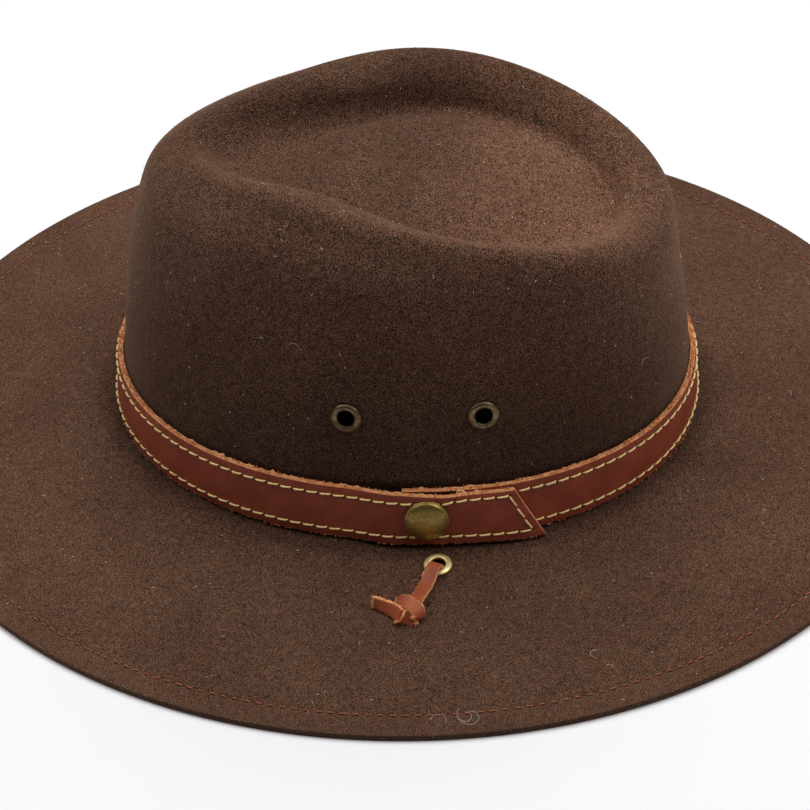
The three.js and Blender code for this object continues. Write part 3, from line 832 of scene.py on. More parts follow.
@dataclass
class FeltHood:
    """The crown and brim: one felt wall with a rounded cut edge, a stitch groove and the fittings' holes.

    The fields named span say where a change starts and ends: along the felt for the crown, from the break
    outwards for the brim, and in X or Y where the name says so.
    """

    block: HatBlock
    meridians: int = 384
    crown_rows: int = 124
    inner_rows: int = 38
    corner: float = 0.65
    corner_points: int = 5
    cap_from: float = 170
    cap_rings: int = 9
    cap_power: float = 1.6
    brim_rows: int = 21
    outer_insets: tuple[float, ...] = (6, 4.8, 3.6, 2.4, 1.4)
    # From hollow_light to brim_light: painted light and shade, factors on the felt's colour.
    hollow_light: float = 0.66
    hollow_span: tuple[float, float] = (96, 118)
    behind_y_span: tuple[float, float] = (-5, 58)
    crest_light: float = 0.24
    crest_at: float = 109
    crest_width: float = 5
    crest_x_span: tuple[float, float] = (-15, 35)
    low_shade: float = 0.38
    low_span: tuple[float, float] = (20, 92)
    band_shade: float = 0.38
    band_at: float = 18.8
    band_width: float = 2.6
    foot_shade: float = 0.36
    foot_span: tuple[float, float] = (3.5, 12)
    flank_shade: float = 0.1
    flank_angle: float = 98
    flank_width: float = 42
    brim_light: float = 1.07
    brim_evened: float = 0.2
    evened_span: tuple[float, float] = (2, 20)
    groove_inset: float = 9
    groove_reach: float = 3
    groove_rows: int = 13
    groove_depth: float = 0.3
    groove_width: float = 0.7
    puff: float = 0.1
    unevenness: float = 0.3
    uneven_span: tuple[float, float] = (24, 60)

    def _brim_rows(self) -> list[tuple[float, float]]:
        """Returns the inset from the edge and the depth below the upper face of each brim row, from under."""
        deep = self.block.thickness
        groove, reach = self.groove_inset, self.groove_reach
        coarse = np.linspace(self.block.brim_width, groove + reach + 1, self.brim_rows)
        fine = np.linspace(groove + reach, groove - reach, self.groove_rows)
        insets = [*coarse, *fine, *self.outer_insets]
        under = [(inset, deep) for inset in insets[::2]]
        quarter = np.linspace(0, math.pi / 2, self.corner_points)
        rounded = [(self.corner * (1 - math.cos(a)), self.corner * (1 - math.sin(a))) for a in quarter]
        low = [(inset, deep - drop) for inset, drop in reversed(rounded)]
        top = [(inset, 0.0) for inset in reversed(insets)]
        return [*under, *low, *rounded, *top]

    def _relief(self, inset: float, drop: float) -> float:
        """Returns how much deeper a brim row lies: the stitch groove's bell less the puff's outside it."""
        groove = self.groove_depth * bump(inset, self.groove_inset, self.groove_width)
        puff = self.puff * bump(inset, self.groove_inset / 2, self.groove_inset / 4)
        return float(groove - puff) if drop < self.block.thickness / 2 else 0.0

    def _uneven(self, points: np.ndarray, way: np.ndarray) -> np.ndarray:
        """Returns the hand-blocked unevenness over the crown: three slow waves that fade out at the band."""
        x, y, z = points[..., 0], points[..., 1], points[..., 2]
        waves = np.sin(x / 13 + y / 29) + np.sin(y / 17 - z / 21 + 1.3) + np.sin(z / 11 + x / 37 + 2.1)
        return self.unevenness / 3 * waves * smooth_step(way, *self.uneven_span)

    def _cap(self, ring: np.ndarray, drop: float) -> np.ndarray:
        """Returns the rings between the last section and the middle.

        Each is the last ring drawn in to its mean place, while its height goes to the middle's by its share
        to the power 1.6.
        """
        share = np.linspace(1, 0, self.cap_rings + 2)[1:-1, None]
        hub = ring.mean(axis=0)
        height = self.block.sections[-1][5] - drop
        rings = hub + (ring[None] - hub) * share[..., None]
        rings[..., 2] = height + (ring[None, :, 2] - height) * share**self.cap_power
        return rings

    def _crown_painted_light_and_shade(self, way: np.ndarray, points: np.ndarray) -> np.ndarray:
        """Returns the painted light and shade on the crown's felt, a factor on its colour.

        Painted light makes it paler in the back half of the hollow and along the left ridge; painted shade
        makes it fall off down the wall and go darkest right over the strap.
        """
        behind = smooth_step(points[..., 1], *self.behind_y_span)
        hollow = self.hollow_light * smooth_step(way, *self.hollow_span) * behind
        low = self.low_shade * (1 - smooth_step(way, *self.low_span))
        left = smooth_step(points[..., 0], *self.crest_x_span)
        crest = self.crest_light * bump(way, self.crest_at, self.crest_width) * left
        over_strap = self.band_shade * bump(way, self.band_at, self.band_width)
        return (1 + hollow + crest - low - over_strap) * self._painted_flank_shade(points)

    def _painted_flank_shade(self, points: np.ndarray) -> np.ndarray:
        """Returns the painted shade on the sides: a bell of the angle from the front."""
        from_front = np.degrees(np.arctan2(np.abs(points[..., 0]), -points[..., 1]))
        return 1 - self.flank_shade * bump(from_front, self.flank_angle, self.flank_width)

    def shell(self) -> Shell:
        """Returns the felt wall ring by ring: inner face, under face, cut edge, upper face, outer face."""
        block = self.block
        angle = np.arange(self.meridians) * 360 / self.meridians
        inner_way = np.linspace(self.cap_from, 0, self.inner_rows)[:, None]
        outer_way = np.linspace(0, self.cap_from, self.crown_rows)[:, None]
        grids = []
        for way, deep in ((inner_way, block.thickness), (outer_way, 0.0)):
            points = block.crown(way, angle)
            lift = self._uneven(points, way) - deep
            grids.append(points + block.crown_normal(way + 0 * angle, angle + 0 * way) * lift[..., None])
        rows = np.array(self._brim_rows())
        brim = block.brim(1 - rows[:, :1] / block.brim_width, angle)
        brim[..., 2] -= rows[:, 1:] + np.array([self._relief(*row) for row in rows])[:, None]
        under_cap, over_cap = self._cap(grids[0][0], block.thickness)[::-1], self._cap(grids[1][-1], 0.0)
        rings = np.concatenate([under_cap, grids[0], brim, grids[1], over_cap])
        far = 100.0  # the way in from the cut edge wherever that is out of reach
        felt, cap = np.full(len(inner_way), far), np.full(self.cap_rings, far)
        edge = np.concatenate([cap, felt, rows[:, 0], np.full(len(outer_way), far), cap])
        # The tone is painted light and shade: crown as above; the brim paler, with painted shade by the foot
        # and sides.
        tone = np.ones((len(rings), self.meridians))
        outer = slice(-self.cap_rings - len(outer_way), -self.cap_rings)
        tone[outer] = self._crown_painted_light_and_shade(outer_way, grids[1])
        tone[-self.cap_rings :] = self._crown_painted_light_and_shade(np.array([[self.cap_from]]), over_cap)
        past_foot = block.brim_width - rows[:, :1]
        by_foot = 1 - self.foot_shade * (1 - smooth_step(past_foot, *self.foot_span))
        flat = slice(len(under_cap) + len(inner_way), outer.start)
        tone[flat] = self.brim_light * by_foot * self._painted_flank_shade(brim)
        evened = np.zeros_like(tone)
        evened[flat] = self.brim_evened * smooth_step(past_foot, *self.evened_span)
        values = {
            "edge": np.concatenate([np.repeat(edge, self.meridians), [far, far]]),
            "tone": np.concatenate([tone.ravel(), [1, tone[-1].mean()]]),
            "evened": np.concatenate([evened.ravel(), [0, 0]]),
        }
        return domed(rings, rings[[0, -1]].mean(axis=1), values)

    def build(self, drills: list[Shell]) -> bpy.types.Object:
        """Makes the felt piece and cuts the fittings' holes through it."""
        felt = self.shell().piece("felt_hood", HOOD_FELT.material(), "wool_felt")
        cutter = Shell.joined(drills).piece("drills", felt.data.materials[0], "wool_felt")
        cut = felt.modifiers.new("holes", "BOOLEAN")
        cut.object, cut.operation, cut.solver = cutter, "DIFFERENCE", "MANIFOLD"
        graph = bpy.context.evaluated_depsgraph_get()
        drilled = bpy.data.meshes.new_from_object(felt.evaluated_get(graph), depsgraph=graph)
        felt.modifiers.clear()
        felt.data = drilled
        bpy.data.objects.remove(cutter)
        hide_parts("felt_body")
        LOG.info("felt_hood drilled: %d faces", len(drilled.polygons))
        return felt


@dataclass
class Stitches:
    """A run of stitches of two-ply thread.

    Its arch is flat on top by the even power flat_power, and its ends taper by taper_power to end_size.
    """

    radius: float
    rise: float
    sink: float
    rings: int = 10
    sides: int = 8
    turns: float = 2.2
    ply_depth: float = 0.13
    flat_power: int = 6
    taper_power: int = 8
    end_size: float = 0.5

    def shell(
        self, starts: np.ndarray, ends: np.ndarray, ups: np.ndarray, pressed: np.ndarray | float = 0.0
    ) -> Shell:
        """Makes one short arched thread between each pair of points.

        Each thread's middle line goes straight from start to end, lifted by a flat-topped arch that dips by
        sink at both ends. Round it goes a circle whose radius falls at the very ends and is grooved twice
        round by a wave that turns along the thread.

        Args:
            starts: the first hole of each stitch.
            ends: the second hole of each stitch.
            ups: the direction away from the material at each stitch.
            pressed: how far each stitch is pressed down.

        Returns:
            The stitches, with the pattern end, which is 1 at both ends and 0 at the middle.
        """
        u = 0.5 - 0.5 * np.cos(np.linspace(0, np.pi, self.rings))
        side = np.abs(2 * u - 1)
        arch = self.rise - (self.rise + self.sink) * side**self.flat_power
        size = self.radius * np.sqrt(np.maximum(1 - side**self.taper_power, self.end_size**2))
        step = ends - starts
        forward = unit(step)
        across = unit(np.cross(ups, forward))
        lift = np.cross(forward, across)
        down = np.broadcast_to(pressed, len(starts))[:, None]
        height = arch[None, :] - down * (1 - side**self.flat_power)[None, :]
        middle = starts[:, None] + step[:, None] * u[None, :, None] + lift[:, None] * height[..., None]
        phi = np.arange(self.sides) * 2 * np.pi / self.sides
        ply = 1 - self.ply_depth * np.cos(2 * phi[None] + 2 * np.pi * self.turns * u[:, None])
        wide = (size[:, None] * ply * np.cos(phi))[None, :, :, None]
        tall = (size[:, None] * ply * np.sin(phi))[None, :, :, None]
        points = middle[:, :, None] + across[:, None, None] * wide + lift[:, None, None] * tall
        return tubes(points, {"end": np.broadcast_to(side[None, :, None], points.shape[:3])})


@dataclass
class BrimStitching:
    """The row of rust thread round the brim, on both faces."""

    block: HatBlock
    inset: float = 9
    pitch: float = 4.0
    length: float = 2.3
    gauge: float = 0.6
    rise: float = 0.14
    sink: float = 0.35
    foot_drop: float = 0.05
    samples: int = 7200

    def _row(self, face: Face) -> Shell:
        """Returns the stitches of one face, evenly spaced along the oval at their inset."""
        angle = np.linspace(0, 360, self.samples + 1)
        line = self.block.brim(1 - self.inset / self.block.brim_width, angle)
        way = along(line)
        count = round(way[-1] / self.pitch)
        shift = 0.5 * (face is Face.UNDER)
        middle = (np.arange(count) + shift) * way[-1] / count
        ends = []
        for offset in (-self.length / 2, self.length / 2):
            at = (middle + offset) % way[-1]
            ends.append(np.stack([np.interp(at, way, line[:, k]) for k in range(3)], -1))
        drop = self.foot_drop if face is Face.TOP else self.block.thickness - self.gauge
        up = np.tile(face.value * UP, (count, 1))
        for end in ends:
            end[:, 2] -= drop
        thread = Stitches(self.gauge / 2, self.rise, self.sink, rings=7, sides=6, turns=1.2)
        return thread.shell(ends[0], ends[1], up)

    def build(self) -> bpy.types.Object:
        """Makes the brim's stitches."""
        rows = Shell.joined([self._row(face) for face in Face])
        return rows.piece("brim_stitching", RUST_THREAD.material(), "rust_thread")


@dataclass
class StrapBand:
    """The leather strap round the crown, whose slanted outer end laps over its inner end.

    Places round the hat are angles, which run on past 360 where the strap goes over its own start: start,
    tip, slant_top, slant_foot, loose_from, climb_span and all that is named angle or at. tip_slant, the
    ramps, step, end_clearance, end_insets, top_from, foot_from, row_past, lap_shadow_span, fray_clear and
    the widths of standoff and dip are differences of such angles.
    """

    block: HatBlock
    thickness: float = 2.1
    gap: float = 0.3
    foot: float = 0.4
    height: float = 19
    start: float = 97
    tip: float = 478
    tip_slant: float = 5.5
    lap_ramp: float = 11
    slant_ramp: float = 12
    end_clearance: float = 1
    loose_from: float = 464
    tip_sag: float = 1
    tip_flare: float = 1.9
    corner: float = 0.4
    corner_raw: tuple[float, float] = (0.6, 0.9)
    flesh_raw: float = 0.6
    step: float = 0.36
    levels: int = 14
    flesh_levels: int = 7
    edge_levels: int = 4
    row_grid: tuple[float, float, float] = (-0.96, 0.97, 0.16)
    end_insets: tuple[float, ...] = (0.25, 0.1, 0.03, 0.0)
    end_rounding: tuple[float, ...] = (0.0, 0.05, 0.15, 0.3)
    top_rough: float = 0.34
    foot_rough: float = 0.2
    rough_blur: float = 0.8
    row_inset: float = 3.0
    row_climb: float = 1.1
    climb_span: tuple[float, float] = (462.5, 468)
    pitch: float = 4.7
    slant_top: float = 476.9
    slant_foot: float = 480.9
    top_from: float = 0.9
    foot_from: float = 1.9
    row_past: float = 0.2
    row_samples: int = 4000
    thread: float = 0.7
    stitch_rise: float = 0.42
    stitch_sink: float = 0.5
    stitch_gap: float = 0.45
    stitch_tilt: float = 0.16
    hole_radii: tuple[float, float] = (0.4, 0.5)
    hole_depth: float = 0.3
    row_depth: float = 0.1
    row_width: float = 0.9
    shadow: float = 0.8
    shadow_drop: float = 0.5
    shadow_width: float = 0.22
    lap_shadow: float = 0.95
    lap_shadow_span: tuple[float, float] = (9, 14)
    lap_shadow_inset: float = 0.3
    snap_angle: float = 101.7
    snap_high: float = 10.25
    snap_radius: float = 7.5
    snap_press: float = 0.45
    press_span: tuple[float, float] = (-0.5, 1.5)
    end_angle: float = 107.9
    end_high: float = 18.4
    end_size: float = 1.3
    end_oval: float = 0.7
    end_turn: tuple[float, float, int] = (215, -60, 24)
    end_gauge: float = 0.56
    fray_count: int = 4600
    fray_length: tuple[float, float] = (0.3, 1.4)
    fray_width: float = 0.2
    fray_clear: float = 0.3
    fray_root: float = 0.05
    fray_depths: tuple[float, float] = (0.15, 0.2)
    fray_leans: tuple[tuple[float, float], ...] = ((-0.2, 0.6), (0.4, 1.2))
    fray_aside: float = 0.9
    fray_down: float = 0.45
    standoff: float = 1.3
    standoff_at: float = 463.0
    standoff_width: float = 5.5
    dip: float = 0.5
    dip_at: float = 465.5
    dip_width: float = 3.2

    def _loose(self, angle: np.ndarray, high: np.ndarray) -> np.ndarray:
        """Returns how loose the strap is: 0 up to the snap's far side and 1 at the slanted tip."""
        return smooth_step(angle, self.loose_from, self.tip + self.tip_slant * (1 - high / self.height))

    def _lift(self, angle: np.ndarray, high: np.ndarray) -> np.ndarray:
        """Returns how far the strap's inner face stands off the felt: its gap, the lap, and slack there."""
        turn = self.start + 360
        lapped = smooth_step(angle, turn - self.lap_ramp, turn - self.end_clearance)
        slack = self.standoff * bump(angle, self.standoff_at, self.standoff_width) * (high / self.height) ** 2
        flare = self.tip_flare * self._loose(angle, high) * (1 - high / self.height)
        return self.gap + lapped * (self.thickness + self.gap) + slack + flare

    def face_point(self, angle: np.ndarray, high: np.ndarray, depth: np.ndarray | float = 0.0) -> np.ndarray:
        """Returns points of the strap.

        Args:
            angle: the angles, over 360 where the strap goes over its own start.
            high: the height over the strap's foot.
            depth: the depth below its outer face.

        Returns:
            The points: the crown's own, moved out along its normal.
        """
        dip = self.dip * bump(angle, self.dip_at, self.dip_width) * (high / self.height) ** 2
        way = self.foot + high - dip - self.tip_sag * self._loose(angle, high)
        out = self._lift(angle, high) + self.thickness - depth
        return self.block.crown(way, angle) + self.block.crown_normal(way, angle) * np.asarray(out)[..., None]

    def _section(self) -> np.ndarray:
        """Returns the strap's section as height, depth and rawness, from the outer foot round by the top.

        Its levels are even, and closer together by the stitch rows, where the holes need them.
        """
        c, h, t = self.corner, self.height, self.thickness
        quarter = np.linspace(0, math.pi / 2, 5)
        fine, upper = np.arange(*self.row_grid), h - self.row_inset
        by_rows = [*(self.row_inset + fine), *(upper + fine), *(upper + self.row_climb + fine)]
        levels = np.unique(np.round([*np.linspace(c, h - c, self.levels), *by_rows], 2))
        raw_from, raw_to = self.corner_raw
        outer = [(z, 0.0, 0.0) for z in levels]
        top = [(h - c + c * math.sin(a), c - c * math.cos(a), float(a > raw_from)) for a in quarter[1:]]
        crest = [(h, d, 1.0) for d in np.linspace(c, t - c, self.edge_levels)[1:]]
        back = [(h - c + c * math.cos(a), t - c + c * math.sin(a), 1.0) for a in quarter[1:]]
        inner = [(z, t, self.flesh_raw) for z in np.linspace(h - c, c, self.flesh_levels)[1:]]
        under = [(c - c * math.sin(a), t - c + c * math.cos(a), 1.0) for a in quarter[1:]]
        floor = [(0.0, d, 1.0) for d in np.linspace(t - c, c, self.edge_levels)[1:]]
        front = [(c - c * math.cos(a), c - c * math.sin(a), float(a < raw_to)) for a in quarter[1:-1]]
        return np.array([*outer, *top, *crest, *back, *inner, *under, *floor, *front])

    def _painted_stitch_shade(self, angle: np.ndarray, high: np.ndarray) -> np.ndarray:
        """Returns the painted shade by the thread: bells round the holes, painted shadow lines under the
        stitches.
        """
        near = np.zeros(np.broadcast(angle, high).shape)
        for level, line_angle, way, count in self._rows():
            at = np.interp(angle, line_angle, way) / way[-1] * count
            off = (at - np.round(at)) * way[-1] / count
            above = high - np.interp(angle, line_angle, level)
            hole = bump(off, 0, self.hole_radii[0]) * bump(above, 0, self.hole_radii[1])
            line = self.shadow * bump(above, -self.shadow_drop, self.shadow_width)
            under = line * (1 - bump(off, 0, self.hole_radii[1]))
            inside = (angle > line_angle[0] - self.row_past) * (angle < line_angle[-1] + self.row_past)
            near = np.maximum(near, np.maximum(hole, under) * inside)
        return near

    def _rows(self) -> list[tuple[np.ndarray, np.ndarray, np.ndarray, int]]:
        """Returns the levels, angles, ways and stitch count of the upper and the lower row."""
        rows = []
        for level, first, last in (
            (self.height - self.row_inset, self.tip - 360 + self.top_from, self.slant_top),
            (self.row_inset, self.tip + self.tip_slant - 360 - self.foot_from, self.slant_foot),
        ):
            angle = np.linspace(first, last, self.row_samples)
            climb = self.row_climb * smooth_step(angle, *self.climb_span) * (level > self.height / 2)
            levels = level + climb
            way = along(self.face_point(angle, levels))
            rows.append((levels, angle, way, round(way[-1] / self.pitch)))
        return rows

    def shell(self) -> Shell:
        """Returns the strap: its section carried round the crown, cut to a slant, painted shadow under the
        lap.
        """
        rng = np.random.default_rng(SEED)
        section = self._section()
        length = np.arange(self.start, self.tip, self.step)
        ends = np.array(self.end_insets)
        t = np.concatenate([self.start + ends[::-1], length[1:-1], self.tip - ends])[:, None]
        high, depth, raw = (column[None] for column in section.T)
        slant = self.tip_slant * np.clip((t - self.tip + self.slant_ramp) / self.slant_ramp, 0, 1)
        angle = t + slant * (1 - high / self.height)
        fray = soft_noise(rng, (len(t), len(section)), self.rough_blur)
        close = 0.01  # how near a point counts as on an edge or on the outer face
        outer = depth < close
        edge = raw * ((high > self.height - close) * self.top_rough + (high < close) * self.foot_rough)
        # Painted shade in the stitch holes and painted shadow under the stitches.
        hole = self._painted_stitch_shade(angle, high) * outer
        # Painted shadow on the inner end's face where the outer end laps over it.
        by_lap = 1 - smooth_step(t, *(self.start + step for step in self.lap_shadow_span))
        upper = (high > self.height / 2) * (high < self.height - self.lap_shadow_inset)
        lapped = by_lap * upper
        hole = np.maximum(hole, self.lap_shadow * lapped * outer)
        rows = self.row_inset, self.height - self.row_inset
        stitched = sum(bump(high, row, self.row_width) for row in rows)
        sunk = self.hole_depth * hole * (1 - lapped) + self.row_depth * stitched * outer
        drawn_in = np.array(self.end_rounding)
        shrink = np.concatenate([drawn_in[::-1], np.zeros(len(t) - 8), drawn_in])[:, None]
        into = shrink * np.sign(self.thickness / 2 - depth)
        points = self.face_point(angle, high + fray * edge, depth + sunk + into)
        at_ends = np.isin(np.arange(len(t)), [0, 1, len(t) - 2, len(t) - 1])[:, None]
        raw_end = np.maximum(raw, at_ends * 1.0)
        strap = tubes(points[None], {"raw": raw_end, "hole": hole + 0 * raw_end})
        return Shell.joined([strap, self._fray(rng, Face.TOP), self._fray(rng, Face.UNDER)])

    def _fray(self, rng: Rng, edge: Face) -> Shell:
        """Returns the fibres torn loose along the strap's upper or lower cut edge.

        Each goes away from the edge, more outwards on the lower one, and a little along it.
        """
        top = edge is Face.TOP
        count = self.fray_count if top else self.fray_count // 2
        high = np.full(count, self.height - self.fray_root if top else self.fray_root)
        clear = self.fray_clear
        last = self.tip - clear if top else self.tip + self.tip_slant - 2 * clear
        angle = rng.uniform(self.start + clear, last, count)
        nearest, inside = self.fray_depths
        depth = rng.uniform(nearest, self.thickness - inside if top else self.thickness / 2, count)
        feet = self.face_point(angle, high, depth)
        up = unit(self.face_point(angle, high + 0.5, depth) - feet) * edge.value
        out = self.block.crown_normal(self.foot + high, angle)
        lean = rng.uniform(*self.fray_leans[0 if top else 1], (count, 1))
        aside = rng.uniform(-self.fray_aside, self.fray_aside, (count, 1))
        ways = unit(up * (1 if top else self.fray_down) + out * lean + np.cross(up, out) * aside)
        return torn_fibres(rng, feet, ways, self.fray_length, self.fray_width)

    def stitching(self) -> Shell:
        """Returns the cream stitches: two long rows joined by the row along the slant."""
        runs = []
        for level, line_angle, way, count in self._rows():
            angle = np.interp(np.linspace(0, way[-1], count + 1), way, line_angle)
            runs.append((angle, np.interp(angle, line_angle, level)))
        (top, high), (low, deep) = runs
        slant = np.linspace(0, 1, 4)
        slant_angle = top[-1] + (low[-1] - top[-1]) * slant
        runs.append((slant_angle, high[-1] + (deep[-1] - high[-1]) * slant))
        starts, ends, ups = [], [], []
        for angle, level in runs:
            points = self.face_point(angle, level)
            normals = self.block.crown_normal(self.foot + level, angle)
            along_run = unit(np.diff(points, axis=0))
            tilt = self.stitch_tilt * np.cross(normals[:-1], along_run)
            starts.append(points[:-1] + along_run * self.stitch_gap / 2 - tilt)
            ends.append(points[1:] - along_run * self.stitch_gap / 2 + tilt)
            ups.append(unit(normals[:-1] + normals[1:]))
        starts, ends, ups = (np.concatenate(part) for part in (starts, ends, ups))
        snap = self.face_point(np.array(self.snap_angle + 360), np.array(self.snap_high))
        near = np.linalg.norm((starts + ends) / 2 - snap, axis=1)
        clear = smooth_step(near, *(self.snap_radius + step for step in self.press_span))
        pressed = self.snap_press * (1 - clear)
        thread = Stitches(self.thread / 2, self.stitch_rise, self.stitch_sink, rings=13)
        return Shell.joined([thread.shell(starts, ends, ups, pressed), self._loose_end()])

    def _loose_end(self) -> Shell:
        """Returns the thread's loose end: a small oval loop that stands on the inner end, behind the lap."""
        high = np.array(self.end_high)
        angles = [np.array(angle) for angle in (self.end_angle, self.end_angle + 1)]
        centre, beside = (self.face_point(angle, high, -self.thread) for angle in angles)
        around = unit(beside - centre)
        turn = np.radians(np.linspace(*self.end_turn))[:, None]
        path = centre + self.end_size * (np.cos(turn) * around + self.end_oval * np.sin(turn) * UP)
        loop = strands(path[None], self.end_gauge / 2, np.cross(around, UP)[None])
        loop.values = {"end": np.zeros(len(loop.points))}
        return loop

    def build(self) -> tuple[bpy.types.Object, bpy.types.Object]:
        """Makes the strap and its stitches."""
        strap = self.shell().piece("strap_band", STRAP_LEATHER.material(), "strap_leather")
        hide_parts("hat_band")
        return strap, self.stitching().piece("strap_stitching", WAXED_THREAD.material(), "waxed_thread")


def axes_along(axis: np.ndarray) -> np.ndarray:
    """Returns three axes as rows, the third along the given one and the first as level as can be."""
    third = unit(np.asarray(axis, float))
    first = unit(np.cross(UP, third) + [1e-9, 0, 0])
    return np.array([first, np.cross(third, first), third])


@dataclass
class Snap:
    """The snap on the lap: a shallow pressed dome with a fine bead at its rim, and a plain post."""

    block: HatBlock
    band: StrapBand
    dome: float = 2.5
    rim: float = 0.7
    bead_turn: tuple[float, float, int] = (-80, 72, 12)
    dome_turn: tuple[float, float, int] = (9, 90, 34)
    dome_inset: float = 0.9
    post: float = 2
    seat: float = 0.75
    sides: int = 96

    def build(self) -> bpy.types.Object:
        """Makes the snap, square to the crown: an ellipse's arc inside a fine bead."""
        band = self.band
        lap = 2 * (band.thickness + band.gap)
        axis = self.block.crown_normal(np.array(band.snap_high), np.array(band.snap_angle))
        foot = band.face_point(np.array(band.snap_angle + 360), np.array(band.snap_high)) + axis * self.seat
        radius, bead = band.snap_radius, self.rim / 2
        profile = [
            (0, -lap + band.gap),
            (self.post, -lap + band.gap),
            (self.post, 0),
            (radius - bead, 0),
            *arc((radius - bead, bead), (bead, bead), *self.bead_turn),
            *arc((0, bead), (radius - self.dome_inset * bead, self.dome - bead), *self.dome_turn)[:-1],
            (0, self.dome),
        ]
        shell = turned(profile, self.sides).placed(foot, axes_along(axis))
        snap = shell.piece("snap_dome", TONED_BRASS.material(), "aged_brass")
        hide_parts("snap_cap")
        return snap


@dataclass
class Eyelet:
    """A rolled brass eyelet or grommet: a round flange in front, a barrel, and a curled back."""

    hole: float
    barrel: float
    flange: float
    rise: float
    thickness: float
    front_gap: float = 0.3
    back_gap: float = 0.45
    roll: float = 0.4
    drill_clearance: float = 0.3
    lip: float = 1.0
    lip_round: float = 0.55
    edge_round: float = 0.15
    back_reach: float = 0.84
    shade_from: float = 0.6
    shade_full: float = 0.1
    shade_wall: float = 0.2
    arc_points: int = 12
    sides: int = 72
    drill_sides: int = 32
    drill_reach: float = 2.5

    def shell(self, place: np.ndarray, axis: np.ndarray) -> Shell:
        """Returns the eyelet with its barrel along axis: a closed profile turned about it."""
        back, front, edge = -self.thickness - self.back_gap, self.front_gap, self.edge_round
        top = self.hole + self.lip
        crest = front + self.rise - self.lip_round
        curl = (self.flange * self.back_reach - self.hole) / 2
        profile = [
            *arc((self.hole + curl, back), (curl, 2 * self.roll), 180, 360, self.arc_points),
            (self.barrel, back),
            (self.barrel, front),
            (self.flange - edge, front),
            *arc((top, front + edge), (self.flange - top, self.rise - edge), 0, 90, self.arc_points),
            *arc((top, crest), (self.lip, self.lip_round), 90, 180, self.arc_points - 2)[1:],
            (self.hole, self.shade_from),
            (self.hole, self.shade_full),
        ]
        shell = turned(profile, self.sides)
        # Painted shade down inside the barrel, stored as the inside pattern.
        radius, height = np.hypot(shell.points[:, 0], shell.points[:, 1]), shell.points[:, 2]
        shade = smooth_step(-height, -self.shade_from, -self.shade_full)
        shell.values = {"inside": shade * (radius < self.hole + self.shade_wall)}
        return shell.placed(place, axes_along(axis))

    def drill(self, place: np.ndarray, axis: np.ndarray) -> Shell:
        """Returns the cutter for its hole in the felt."""
        radius, reach = self.barrel + self.drill_clearance, self.drill_reach * self.thickness
        profile = [(0, -reach), (radius, -reach), (radius, reach), (0, reach)]
        return turned(profile, self.drill_sides).placed(place, axes_along(axis))


@dataclass
class Fittings:
    """The four vents in the crown and the two grommets in the brim."""

    block: HatBlock
    # A vent's name, its angle and its way along the felt.
    vents: tuple[tuple[str, float, float], ...] = (("front", 85.5, 41.5), ("back", 112, 44))
    grommet_x: float = 95.3
    grommet_y: float = 26.2
    vent: Eyelet = field(init=False)
    grommet: Eyelet = field(init=False)
    vent_places: list[tuple[str, np.ndarray, np.ndarray]] = field(default_factory=list)
    grommet_places: list[tuple[str, np.ndarray, np.ndarray]] = field(default_factory=list)

    def __post_init__(self) -> None:
        """Works out the two kinds of eyelet, and the name, the place and the axis of each."""
        felt = self.block.thickness
        self.vent = Eyelet(hole=2.95, barrel=3.35, flange=5.25, rise=1.1, thickness=felt)
        self.grommet = Eyelet(hole=2.5, barrel=2.85, flange=4.9, rise=1.0, thickness=felt, lip=0.7)
        for side in Side:
            for name, angle, way in self.vents:
                way, angle = np.array(way), np.array(side.value * angle)
                place = self.block.crown(way, angle), self.block.crown_normal(way, angle)
                self.vent_places.append((f"{side.name.lower()}_{name}", *place))
            x, y = side.value * self.grommet_x, self.grommet_y
            height = self.block.brim_height(x, y)
            fall = self.block.brim_height(x - side.value, y) - height
            axis = unit(np.array([side.value * fall, 0.0, 1.0]))
            self.grommet_places.append((side.name.lower(), np.array([x, y, height]), axis))

    def drills(self) -> list[Shell]:
        """Returns the cutters for all six holes."""
        vents = [self.vent.drill(place, axis) for _, place, axis in self.vent_places]
        return vents + [self.grommet.drill(place, axis) for _, place, axis in self.grommet_places]

    def build(self) -> None:
        """Makes the eyelets and grommets."""
        toned, bright = TONED_EYELET_BRASS.material(), BRIGHT_BRASS.material()
        for name, place, axis in self.vent_places:
            eyelet = self.vent.shell(place, axis).piece(f"vent_{name}", toned, "aged_brass")
            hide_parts(f"vent_eyelet_{name}")
        for name, place, axis in self.grommet_places:
            grommet = self.grommet.shell(place, axis).piece(f"grommet_{name}", bright, "bright_brass")
            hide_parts(f"brim_grommet_{name}")


